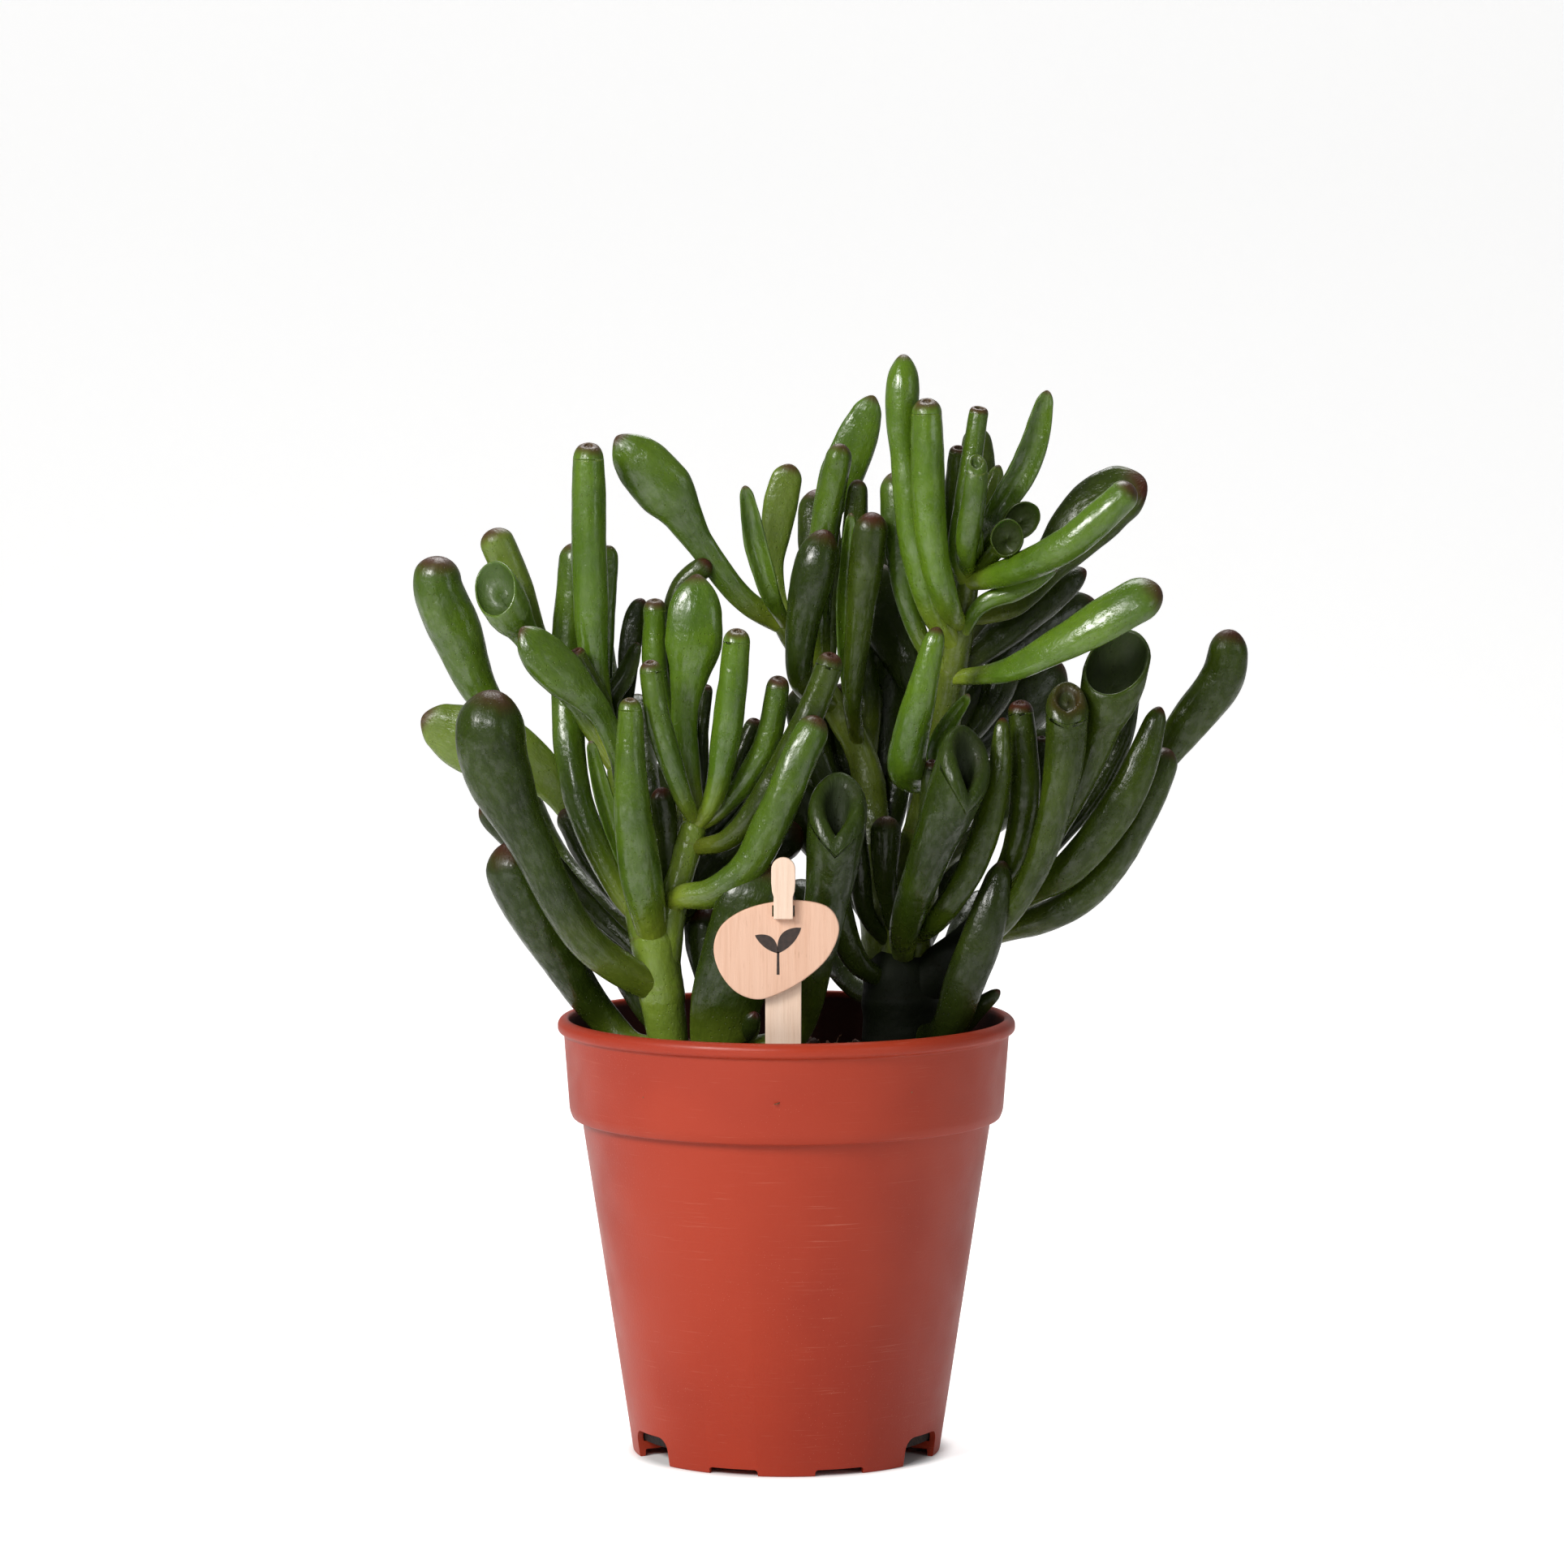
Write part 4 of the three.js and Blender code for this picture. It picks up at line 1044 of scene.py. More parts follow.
RIGHT_LEAVES = (
    front_leaf(Bearer.UPPER, 87, Shape.TUBE, 6.5, 1, (31, -7, 92), (28.3, -10, 103), (27.1, -11, 131.6),
               look=Look.LIVELY, end=End.DIMPLE),
    front_leaf(Bearer.UPPER, 76, Shape.CLUB, 6.8, 0.95, (27.2, 1, 82.5), (23.4, 1, 93), (21.9, 2, 106),
               (21.6, 3, 117), look=Look.FRESH),
    front_leaf(Bearer.UPPER, 82, Shape.WAISTED, 6.7, 1, (28.6, -3, 90), (25, -6, 104), (22.6, -5, 124),
               (22.8, -4, 140), look=Look.LIVELY, end=End.POINT),
    front_leaf(Bearer.UPPER, 97, Shape.FOLDED, 5.8, 0.8, (39.5, -1, 106.5), (47, -4, 119.3),
               (50.8, -5, 133), look=Look.FRESH),
    Leaf(Bearer.UPPER, 95, Shape.TUBE, 6.8, 0.9, Face.FRONT_UP, ((44.8, -11, 98.6), (55, -18, 104.3),
         (66.7, -20, 115)), Look.LIVELY, End.BLUNT),
    Leaf(Bearer.UPPER, 89, Shape.PADDLE, 13.6, 0.45, Face.FRONT_UP, ((44, 2, 91), (52, 4, 99.5),
         (61, 4, 109.5), (70.3, 3, 115.5)), Look.SHADED),
    Leaf(Bearer.UPPER, 78, Shape.BLADE, 8.4, 0.7, Face.FRONT_UP, ((40, 5, 83), (49, 8, 90.5),
         (59, 9, 97.5)), Look.DUSKY),
    Leaf(Bearer.UPPER, 76, Shape.CLUB, 9.4, 0.6, Face.FRONT_UP, ((43.6, -14, 79.5), (55, -20, 85.7),
         (65.8, -22, 92.2), (72, -22, 95.3)), Look.LIVELY),
    front_leaf(Bearer.UPPER, 56, Shape.SPIRE, 7.6, 0.9, (23.5, -10, 60), (24.7, -15, 69), (29.2, -17, 87.7),
               look=Look.LIVELY, end=End.POINT),
    front_leaf(Bearer.OFFSHOOT, 29, Shape.FINGER, 5.8, 1, (40.5, -5, 35), (44.5, -8, 43), (46.5, -10, 56),
               (45.4, -9, 73), look=Look.SHADED),
    Leaf(Bearer.UPPER, 20, Shape.TRUMPET, 11.4, 0.95, Face.FRONT_AND_RIGHT, ((23.5, -14, 31),
         (28.5, -22, 46), (33.8, -24, 60.5), (36, -24, 68.5)), Look.DEEP),
    front_leaf(Bearer.UPPER, 24, Shape.BLADE, 5.8, 0.95, (30.5, -14, 32), (36.5, -16, 42.6), (41, -16, 58),
               (41.9, -15, 70), look=Look.SHADED),
    front_leaf(Bearer.OFFSHOOT, 23, Shape.TRUMPET, 8.4, 0.95, (41, -9, 28.5), (48.6, -15, 41),
               (53.2, -18, 59), (54.4, -18, 77), look=Look.SHADED, end=End.LIPPED),
    Leaf(Bearer.OFFSHOOT, 31, Shape.CUPPED, 12.6, 0.95, Face.FRONT_AND_LEFT, ((44.5, -2, 38), (51, -6, 46),
         (57.2, -10, 57.5), (62.4, -11, 72.5), (65.2, -12, 86.5)), Look.SHADED, End.CUP),
    front_leaf(Bearer.OFFSHOOT, 28, Shape.BLADE, 7.6, 0.6, (46, -1, 33.5), (55.5, -7, 40), (66.5, -9, 55),
               (72.8, -8, 71.6), look=Look.SHADED),
    front_leaf(Bearer.OFFSHOOT, 24, Shape.TUBE, 6.9, 0.95, (43, 1, 27), (50, 0, 29.2), (58, -1, 33.6),
               (65, -1, 42.2), (70.8, -1, 53), (74.9, 0, 62.8), look=Look.SHADED),
    front_leaf(Bearer.OFFSHOOT, 27, Shape.KNOB, 8.6, 0.85, (43, 8, 30), (60, 11, 40), (72, 11, 56.5),
               (79, 10, 66.5), (86, 9, 76), (87.6, 8, 85.7), look=Look.SHADED),
    front_leaf(Bearer.RIGHT, 5, Shape.BLADE, 8.4, 0.8, (31, -8, 8), (34.6, -12, 18), (39.6, -13, 32),
               (42.2, -12, 41.8)),
    back_leaf(Bearer.UPPER, 42, Shape.CLUB, 8.6, 0.9, (31, 20, 52), (35, 33, 62), (38, 44, 76),
              look=Look.SHADED),
    back_leaf(Bearer.UPPER, 80, Shape.FINGER, 7, 0.95, (39, 14, 87), (45, 26, 92), (51, 36, 98),
              look=Look.SHADED),
    back_leaf(Bearer.UPPER, 36, Shape.CLUB, 8.8, 0.9, (37, 18, 44), (47, 29, 52), (54, 37, 65),
              look=Look.SHADED),
    back_leaf(Bearer.RIGHT, 12, Shape.PADDLE, 9, 0.7, (30, 18, 14), (35, 30, 20), (41.5, 41, 30)),
    back_leaf(Bearer.RIGHT, 22, Shape.FINGER, 8, 0.95, (24, 20, 30), (27, 34, 40), (29, 47, 53)),
)

EXTRA_LEAVES = (
    front_leaf(Bearer.SIDE, 50, Shape.TUBE, 5, 0.85, (-20, 0, 66), (-22.6, 4, 80), (-20.5, 5, 94),
               (-15, 4, 99.3), look=Look.SHADED),
    back_leaf(Bearer.LEFT, 38, Shape.FINGER, 7.2, 0.95, (-28, 6, 50), (-29.5, 20, 60), (-30, 33, 70),
              look=Look.SHADED),
    back_leaf(Bearer.SIDE, 44, Shape.FINGER, 7.6, 0.95, (-19, 6, 56), (-20, 19, 68), (-20, 28, 85),
              look=Look.SHADED),
    back_leaf(Bearer.LEFT, 12, Shape.PADDLE, 9, 0.7, (-26, 4, 18), (-29, 18, 25), (-32, 33, 38)),
    front_leaf(Bearer.CENTRE, 85, Shape.FOLDED, 4.6, 0.85, (-3.5, 3, 94), (-6, 2, 103), (-8.2, 1, 114.3),
               look=Look.FRESH),
    front_leaf(Bearer.CENTRE, 66, Shape.PADDLE, 5, 0.8, (13, 8, 84), (13, 7, 98), (14.1, 7, 115.3),
               look=Look.SHADED),
    back_leaf(Bearer.CENTRE, 50, Shape.CLUB, 7.6, 0.9, (14, 22, 58), (8, 34, 66), (3, 44, 79),
              look=Look.SHADED),
    front_leaf(Bearer.UPPER, 94, Shape.FINGER, 4.3, 0.95, (33, -4, 101), (34.6, -7, 111), (37.5, -7, 130),
               look=Look.FRESH, end=End.RING),
    front_leaf(Bearer.UPPER, 96, Shape.FINGER, 5, 0.95, (35, -9, 103), (36.3, -12, 112), (36.9, -12, 120.8),
               look=Look.FRESH, end=End.LIPPED),
    back_leaf(Bearer.UPPER, 62, Shape.FINGER, 7.4, 0.95, (32, 16, 74), (32, 28, 88), (30, 40, 105),
              look=Look.SHADED),
    back_leaf(Bearer.UPPER, 91, Shape.PADDLE, 7, 0.7, (36, 14, 104), (38, 23, 114), (38, 29, 125),
              look=Look.SHADED),
    back_leaf(Bearer.RIGHT, 12, Shape.CLUB, 8.6, 0.9, (15, 18, 13), (9, 30, 20), (1, 41, 32)),
    front_leaf(Bearer.RIGHT, 15, Shape.FINGER, 5.6, 0.9, (14, -4, 21), (10, -8, 32), (9, -9, 46)),
    front_leaf(Bearer.UPPER, 82, Shape.BLADE, 3.8, 0.9, (38, -3, 91), (46.3, -4, 94.5), (52.7, -4, 98.5),
               look=Look.LIVELY),
    back_leaf(Bearer.UPPER, 60, Shape.PADDLE, 11, 0.6, (28, 14, 70), (22, 22, 82), (16, 26, 98)),
    back_leaf(Bearer.UPPER, 64, Shape.CLUB, 9, 0.8, (26, 16, 74), (24, 26, 86), (23, 32, 102)),
    back_leaf(Bearer.UPPER, 70, Shape.PADDLE, 10, 0.6, (38, 12, 84), (46, 20, 92), (56, 24, 101)),
    back_leaf(Bearer.UPPER, 64, Shape.PADDLE, 11, 0.6, (40, 14, 75), (50, 22, 83), (62, 26, 90)),
    back_leaf(Bearer.UPPER, 50, Shape.PADDLE, 11, 0.6, (36, 14, 60), (46, 22, 68), (55, 26, 78)),
    back_leaf(Bearer.RIGHT, 20, Shape.PADDLE, 10, 0.6, (15, 14, 38), (9, 18, 48), (5, 20, 62)),
    back_leaf(Bearer.CENTRE, 30, Shape.PADDLE, 10, 0.6, (17, 18, 44), (13, 22, 56), (11, 24, 74)),
    back_leaf(Bearer.CENTRE, 44, Shape.PADDLE, 9, 0.6, (19, 18, 54), (20, 22, 66), (21, 24, 82)),
    back_leaf(Bearer.CENTRE, 40, Shape.CLUB, 8, 0.8, (11, 14, 50), (6, 16, 60), (3, 18, 74)),
    back_leaf(Bearer.SIDE, 30, Shape.PADDLE, 9, 0.6, (-15, 0, 40), (-7, 6, 47), (1, 10, 57)),
    back_leaf(Bearer.SIDE, 28, Shape.CLUB, 8.4, 0.8, (-16, 0, 36), (-8, 6, 40), (3, 10, 46)),
    back_leaf(Bearer.FRONT, 5, Shape.CLUB, 8, 0.8, (-12, -9, 9), (-15, -6, 20), (-16.5, -4, 32)),
    back_leaf(Bearer.LEFT, 7, Shape.CLUB, 8, 0.8, (-28, -2, 12), (-32, 4, 20), (-35, 8, 34)),
    back_leaf(Bearer.RIGHT, 22, Shape.PADDLE, 8, 0.7, (28, 10, 34), (31, 12, 46), (32, 14, 60)),
    front_leaf(Bearer.LEFT, 20, Shape.PADDLE, 7, 0.8, (-38, -8, 32), (-50, -9, 44), (-59.3, -10, 53)),
    front_leaf(Bearer.LEFT, 32, Shape.FOLDED, 3.8, 0.9, (-31.3, -13, 41.5), (-34, -14, 49.5),
               (-36.3, -15, 58), (-38, -15, 65.5), look=Look.FRESH),
    front_leaf(Bearer.LEFT, 58, Shape.FINGER, 4.2, 0.95, (-36, -10, 72), (-39, -11, 78.5), (-41.3, -11, 83),
               look=Look.SHADED, end=End.RING),
    front_leaf(Bearer.LEFT, 57, Shape.PADDLE, 5, 0.85, (-35.5, 1, 75), (-36, 4, 90), (-34.8, 4, 102.5),
               look=Look.FRESH),
    front_leaf(Bearer.LEFT, 60, Shape.PADDLE, 4.6, 0.85, (-31.5, 2, 70), (-31, 4, 80), (-29.8, 5, 88),
               (-28.3, 5, 92)),
    front_leaf(Bearer.LEFT, 62, Shape.FOLDED, 4, 0.9, (-34.5, -4, 72), (-31.5, -2, 77.5), (-29.2, 2, 83.5)),
    front_leaf(Bearer.SIDE, 30, Shape.CLUB, 4.8, 0.9, (-23.3, -9, 46), (-24.4, -10, 56)),
    front_leaf(Bearer.SIDE, 49, Shape.FINGER, 4.2, 0.95, (-13.5, -5, 53), (-9.3, -5, 60.5), (-5.7, -4, 69)),
    front_leaf(Bearer.SIDE, 50, Shape.FINGER, 3.2, 0.95, (-16.8, 0, 58), (-16.8, 3, 66), (-15.7, 4, 75.2)),
    front_leaf(Bearer.LEFT, 26, Shape.CLUB, 5, 0.9, (-38, -4, 40), (-42, -3, 48), (-44, -3, 51)),
    front_leaf(Bearer.CENTRE, 64, Shape.FOLDED, 3.8, 0.85, (12, 2, 78), (11.5, 1, 90), (12.6, 0, 109),
               look=Look.FRESH),
    front_leaf(Bearer.UPPER, 93, Shape.FINGER, 4.2, 0.95, (32.5, 4, 102), (32.8, 4, 112), (33.8, 3, 122),
               look=Look.SHADED, end=End.RING),
    front_leaf(Bearer.UPPER, 96, Shape.BLADE, 4.6, 0.9, (38, 5, 104), (40, 6, 112), (41.7, 6, 118.2),
               look=Look.BACKLIT),
    front_leaf(Bearer.UPPER, 97, Shape.CUPPED, 6.6, 0.95, (41, -3, 103), (45, -6, 107), (46.8, -10, 109),
               look=Look.SHADED, end=End.BOWL),
    front_leaf(Bearer.UPPER, 95, Shape.CUPPED, 6.4, 0.95, (40, -6, 101), (42.5, -12, 104),
               (42.8, -17, 105.7), look=Look.SHADED, end=End.BOWL),
    front_leaf(Bearer.UPPER, 97, Shape.BLADE, 3.5, 0.9, (36.5, -2, 101), (37.6, -4, 106), look=Look.LIVELY),
    front_leaf(Bearer.UPPER, 57, Shape.FOLDED, 3.6, 0.9, (29, -5, 63), (32, -9, 69), (35.5, -11, 74.2),
               look=Look.FRESH),
    front_leaf(Bearer.UPPER, 30, Shape.FINGER, 4, 0.9, (27, -10, 44), (28.3, -11, 61.5)),
    front_leaf(Bearer.RIGHT, 3, Shape.BLADE, 4.2, 0.8, (33.5, -3, 8), (38, -5, 12.5), (41.8, -6, 15.8)),
    front_leaf(Bearer.RIGHT, 22, Shape.FINGER, 4.2, 0.95, (15.8, 0, 30), (14.3, -3, 40), (13.5, -4, 50)),
    front_leaf(Bearer.RIGHT, 24, Shape.CLUB, 6, 0.9, (19.5, -3, 36), (19.5, -6, 50)),
    front_leaf(Bearer.OFFSHOOT, 30, Shape.BLADE, 3.8, 0.9, (58, 2, 50), (66, 1, 64), (68.7, 0, 75.5)),
    front_leaf(Bearer.OFFSHOOT, 30, Shape.FINGER, 3.5, 0.9, (46, -3, 40), (49, -3, 52), (50, -3, 65.5)),
    front_leaf(Bearer.FRONT, 6, Shape.BLADE, 4.2, 0.8, (-7.5, -19, 9), (-6, -22, 13.5)),
    back_leaf(Bearer.RIGHT, 16, Shape.PADDLE, 8.5, 0.7, (27, 9, 24), (30, 12, 33), (31.5, 14, 42)),
    back_leaf(Bearer.CENTRE, 24, Shape.PADDLE, 9, 0.7, (12, 14, 36), (6, 15, 44), (0, 15, 55)),
    back_leaf(Bearer.SIDE, 34, Shape.CLUB, 7, 0.8, (-17, 4, 44), (-12, 8, 48), (-5.5, 11, 52)),
    back_leaf(Bearer.UPPER, 60, Shape.CLUB, 7, 0.85, (37, 9, 66), (41, 12, 72), (43.5, 14, 79)),
    back_leaf(Bearer.CENTRE, 36, Shape.FINGER, 6, 0.9, (19, 13, 43), (21, 16, 50), (22.8, 17, 58)),
)


# ---------------------------------------------------------------- stems


@dataclass(frozen=True)
class Stem:
    """One stem. Lengths are millimetres; heights are above the soil.

    Attributes:
        points: Its centre line.
        radii: Its radius at each point.
        scars: Heights of the rings left by fallen leaves.
        rooted: Whether it runs on down into the soil.
    """

    points: tuple[Point, ...]
    radii: tuple[float, ...]
    scars: tuple[float, ...] = ()
    rooted: bool = False


STEMS: dict[Bearer, Stem] = {
    Bearer.LEFT: Stem(
        ((-22.4, -12, 0), (-24, -12, 14), (-25.5, -11, 25), (-29, -8, 40), (-33, -5, 61)),
        (3.8, 4.3, 4.6, 3.2, 2.4), (17, 27, 45), True),
    Bearer.SIDE: Stem(
        ((-24, -12, 19), (-22.2, -11, 33), (-19.5, -9.5, 43), (-17.6, -9, 50)),
        (3.2, 2.9, 2.7, 2.5), (33, 45)),
    Bearer.RIGHT: Stem(((22.8, 4, 0), (22.8, 4, 12), (22, 4, 24)), (7.4, 7.8, 7), (6, 14), True),
    Bearer.UPPER: Stem(
        ((22.5, 4, 16), (26, 5, 40), (30, 4, 61), (33.2, 2, 80), (35.8, 1, 97.5)),
        (5.5, 4.6, 3.4, 2.8, 2.2), (34, 46, 57, 68, 78, 87)),
    Bearer.OFFSHOOT: Stem(
        ((25, 2, 14), (31, 1, 20.5), (36.5, 0.5, 25.5), (40, 1, 31)), (4.6, 4, 3.4, 2.6), (20, 27)),
    Bearer.CENTRE: Stem(
        ((20, 6, 16), (17.8, 9, 40), (15, 12, 60), (7, 13, 74), (-1, 11, 87.5)),
        (5, 4, 3.2, 2.7, 2.2), (30, 44, 56, 68, 80)),
    Bearer.FRONT: Stem(((-8, -15, 0), (-8.3, -15, 9)), (3.2, 2.6), (), True),
}


@dataclass
class Stems:
    """The plant's stems, with a swelling and a brown scar line at each old leaf.

    Attributes:
        ground: Centre of the soil's top, in metres.
        root: How far a rooted stem runs below the soil, in millimetres.
        sides: Points round a stem.
        spacing: Distance between rings, in millimetres.
        swelling: How far a stem swells at a scar, as a share of its radius.
    """

    ground: Vector
    root: float = 14.0
    sides: int = 30
    spacing: float = 0.55
    swelling: float = 0.055
    paths: dict[Bearer, Path] = field(default_factory=dict)

    def __post_init__(self) -> None:
        """Lay the centre lines."""
        for bearer, stem in STEMS.items():
            self.paths[bearer] = Path([self.above(point) for point in stem.points])

    def above(self, point: Sequence[float]) -> Vector:
        """Return a place given in millimetres, with its height above the soil."""
        return self.ground + Vector(point) * MM

    def spot(self, bearer: Bearer, height: float) -> Vector:
        """Return the place on a stem's centre line that is nearest to a height above the soil."""
        target = self.ground.z + height * MM
        return min(self.paths[bearer].samples, key=lambda point: abs(point.z - target)).copy()

    def _ring(self, stem: Stem, path: Path, along: float, radius: float) -> Ring:
        """Build one ring of a stem.

        Args:
            stem: The stem.
            path: Its centre line.
            along: The ring's place, as a share of the length.
            radius: The stem's radius there, in millimetres.

        Returns:
            The ring, swollen and marked where a leaf has fallen.
        """
        centre = path.point(along)
        forward = path.tangent(along)
        across = forward.cross(Vector((0, -1, 0))).normalized()
        front = across.cross(forward).normalized()
        height = (centre.z - self.ground.z) / MM
        scar = 0.0
        for mark in stem.scars:
            scar = max(scar, 0.55 * math.exp(-((height - mark) / 0.45) ** 2))
            radius *= 1 + self.swelling * math.exp(-((height - mark + 1.3) / 1.9) ** 2)
        points = []
        for side in range(self.sides):
            angle = side / self.sides * TAU
            way = across * math.cos(angle) + front * math.sin(angle)
            place = centre + way * radius * MM
            lump = noise.noise(place * 160) * 0.05 + noise.noise(place * 620) * 0.018
            points.append(centre + way * (radius * (1 + lump - 0.02 * scar) * MM))
        values = {"along": along, "rim": scar, "inside": 0.0}
        return Ring(points, values, along * path.length, TAU * radius * MM)

    def _mesh(self, bearer: Bearer) -> bpy.types.Mesh:
        """Build one stem's mesh."""
        stem = STEMS[bearer]
        points = [self.above(point) for point in stem.points]
        radii = list(stem.radii)
        if stem.rooted:
            points.insert(0, points[0] - Vector((0, 0, self.root * MM)))
            radii.insert(0, radii[0])
        path = Path(points)
        width = Profile([(index / (len(radii) - 1), radius) for index, radius in enumerate(radii)])
        count = max(6, int(path.length / MM / self.spacing))
        cap = radii[-1] * MM / path.length
        rings = []
        for row in range(count + 1):
            along = 0.002 + 0.996 * row / count
            over = max(0.0, (along - 1 + cap) / cap)
            rings.append(self._ring(stem, path, along, width.at(along) * math.sqrt(max(0.02, 1 - over**2))))
        return ring_mesh(bearer.value, rings, path.point(0.0), path.point(1.0))

    def build(self) -> list[bpy.types.Object]:
        """Build the three plants' stems, each as one piece.

        Returns:
            The pieces.
        """
        members = {
            "left_stem": ((Bearer.LEFT, Look.STEM), (Bearer.SIDE, Look.STEM)),
            "right_stem": ((Bearer.RIGHT, Look.OLD_STEM), (Bearer.UPPER, Look.BRANCH),
                           (Bearer.OFFSHOOT, Look.OLD_STEM), (Bearer.CENTRE, Look.BRANCH)),
            "front_stem": ((Bearer.FRONT, Look.OLD_STEM),),
        }
        made = []
        for name, stems in members.items():
            parts = [piece(bearer.value, self._mesh(bearer), MATERIALS[look]) for bearer, look in stems]
            made.append(join(f"{name}_look", parts))
            settle(made[-1], "stem_green", name)
        return made


def join(name: str, parts: list[bpy.types.Object]) -> bpy.types.Object:
    """Join objects into one piece.

    Args:
        name: The piece's name.
        parts: The objects, of which the first is kept.

    Returns:
        The joined piece.
    """
    bpy.ops.object.select_all(action="DESELECT")
    for part in parts:
        part.select_set(True)
    bpy.context.view_layer.objects.active = parts[0]
    if len(parts) > 1:
        bpy.ops.object.join()
    parts[0].name = name
    parts[0].data.name = name
    return parts[0]


# ---------------------------------------------------------------- leaves


@dataclass(frozen=True)
class Slice:
    """One row of points across a leaf.

    Attributes:
        along: Its place, as a share of the leaf's length.
        factor: Its width, as a share of the leaf's widest.
        weight: Share of the tip's lean that it takes.
        rim: Strength of the maroon.
        inside: How far it is down the hollow, 0 to 1.
    """

    along: float
    factor: float
    weight: float
    rim: float
    inside: float


@dataclass
class LeafBuilder:
    """Builds the fleshy leaves: a lofted body, a rolled lip and, where the tip is open, its hollow.

    Attributes:
        stems: The stems that carry the leaves.
        sides: Points round a leaf.
        body_rows: Rings along the body.
        lip_rows: Rings over the rounding of the tip.
        hollow_rows: Rings down the hollow.
        lump: Height of the broad unevenness, as a share of the width.
        grain: Fine swellings per metre.
        grain_height: Height of the fine swellings.
    """

    stems: Stems
    sides: int = 40
    body_rows: int = 72
    lip_rows: int = 9
    hollow_rows: int = 9
    lump: float = 0.035
    grain: float = 430.0
    grain_height: float = 0.055 * MM

    def _slices(self, leaf: Leaf, tip: Tip, length: float) -> list[Slice]:
        """Lay out a leaf's rows of points over the body, the lip and the hollow.

        Args:
            leaf: The leaf.
            tip: How it ends.
            length: Its length in metres.

        Returns:
            The rows from the base on.
        """
        outline = Profile(leaf.shape.value.rows)
        half = leaf.width / 2 * MM
        end_half = half * outline.at(1.0)
        cap = tip.round_over * end_half / length
        fall = tip.fall * end_half / length
        drop = tip.depth * end_half / length
        lean_reach = max(tip.lean * end_half * 2.2, half)
        rim_reach = (0.95 if tip.crest > 0 else 1.12) * end_half + 0.4 * MM
        deepness = min(1.0, tip.depth / 1.5)
        rows: list[Slice] = []

        def body(along: float, radius: float, weight: float) -> None:
            """Add a row outside the hollow, redder the nearer it is to the end."""
            rim = max(0.0, 1 - (1 - along) * length / rim_reach) * 0.8 * tip.blush
            rows.append(Slice(along, radius * outline.at(along), weight, rim, 0.0))

        for index in range(self.body_rows):
            along = 0.004 + (1 - cap - 0.004) * (1 - (1 - index / self.body_rows) ** 1.25)
            body(along, 1.0, smooth(lean_reach, 0.0, (1 - along) * length) if tip.lean else 0.0)
        for index in range(self.lip_rows + 1):
            angle = math.pi / 2 * index / self.lip_rows
            radius = tip.crest + (1 - tip.crest) * math.cos(angle)
            body(1 - cap + cap * math.sin(angle), max(0.015, radius), 1.0)
        if tip.crest == 0:
            return rows
        for index in range(1, self.lip_rows + 1):
            angle = math.pi / 2 * index / self.lip_rows
            along = 1 - fall * (1 - math.cos(angle))
            radius = tip.crest - (tip.crest - tip.mouth) * math.sin(angle)
            inside = deepness * index / self.lip_rows
            rows.append(Slice(along, radius * outline.at(along), 1.0, 0.9 * tip.blush, inside))
        for index in range(1, self.hollow_rows + 1):
            angle = math.pi / 2 * index / self.hollow_rows
            along = 1 - fall - drop * math.sin(angle)
            radius = max(0.02, tip.mouth * math.cos(angle))
            rim = tip.blush * max(0.9 * (1 - deepness), 0.8 - 0.9 * math.sin(angle))
            rows.append(Slice(along, radius * outline.at(along), 1 - 0.55 * math.sin(angle), rim, deepness))
        return rows

    def _points(self, leaf: Leaf, tip: Tip, path: Path, row: Slice, seed: Vector) -> list[Vector]:
        """Place the points of one row.

        Args:
            leaf: The leaf.
            tip: How it ends.
            path: Its centre line.
            row: The row.
            seed: An offset that makes this leaf's unevenness its own.

        Returns:
            The points round the row.
        """
        half = leaf.width / 2 * MM
        lean = tip.lean * half * leaf.shape.value.rows[-1][1]
        face = Vector(leaf.face.value).normalized()
        forward = path.tangent(row.along)
        depth_axis = (face - forward * face.dot(forward)).normalized()
        width_axis = depth_axis.cross(forward)
        wobble = noise.noise(seed + Vector((0, 0, row.along * 6))) * self.lump * half * (1 - row.inside)
        centre = path.point(row.along) + width_axis * wobble
        reach = row.along * path.length
        dish = leaf.shape.value.dish * smooth(0.12, 0.45, row.along) * (1 - 0.5 * smooth(0.9, 1.0, row.along))
        points = []
        for side in range(self.sides):
            angle = side / self.sides * TAU
            sine, cosine = math.sin(angle), math.cos(angle)
            across = -cosine * half * row.factor
            through = sine * half * leaf.flatness * row.factor * (1 - dish * max(0.0, sine) ** 1.4)
            spread = noise.noise(seed + Vector((cosine * 1.3, sine * 1.3, reach / half * 0.42)))
            ridge = noise.noise(seed + Vector((cosine * 3.6, sine * 3.6, reach / half * 0.3)))
            swell = 1 + (spread * 1.6 + ridge * 0.5) * self.lump * (1 - 0.6 * row.inside)
            small = noise.noise(Vector((cosine * half, sine * half, reach)) * self.grain + seed)
            swell += small * self.grain_height / (half * max(0.25, row.factor))
            from_front = abs((angle - math.pi / 2 + math.pi) % TAU - math.pi)
            even = (1 + math.cos(from_front)) / 2
            pointed = (1 - from_front / math.pi) ** 1.7
            lowered = lean * row.weight * (even * (1 - tip.pinch) + pointed * tip.pinch)
            points.append(centre + (width_axis * across + depth_axis * through) * swell - forward * lowered)
        return points

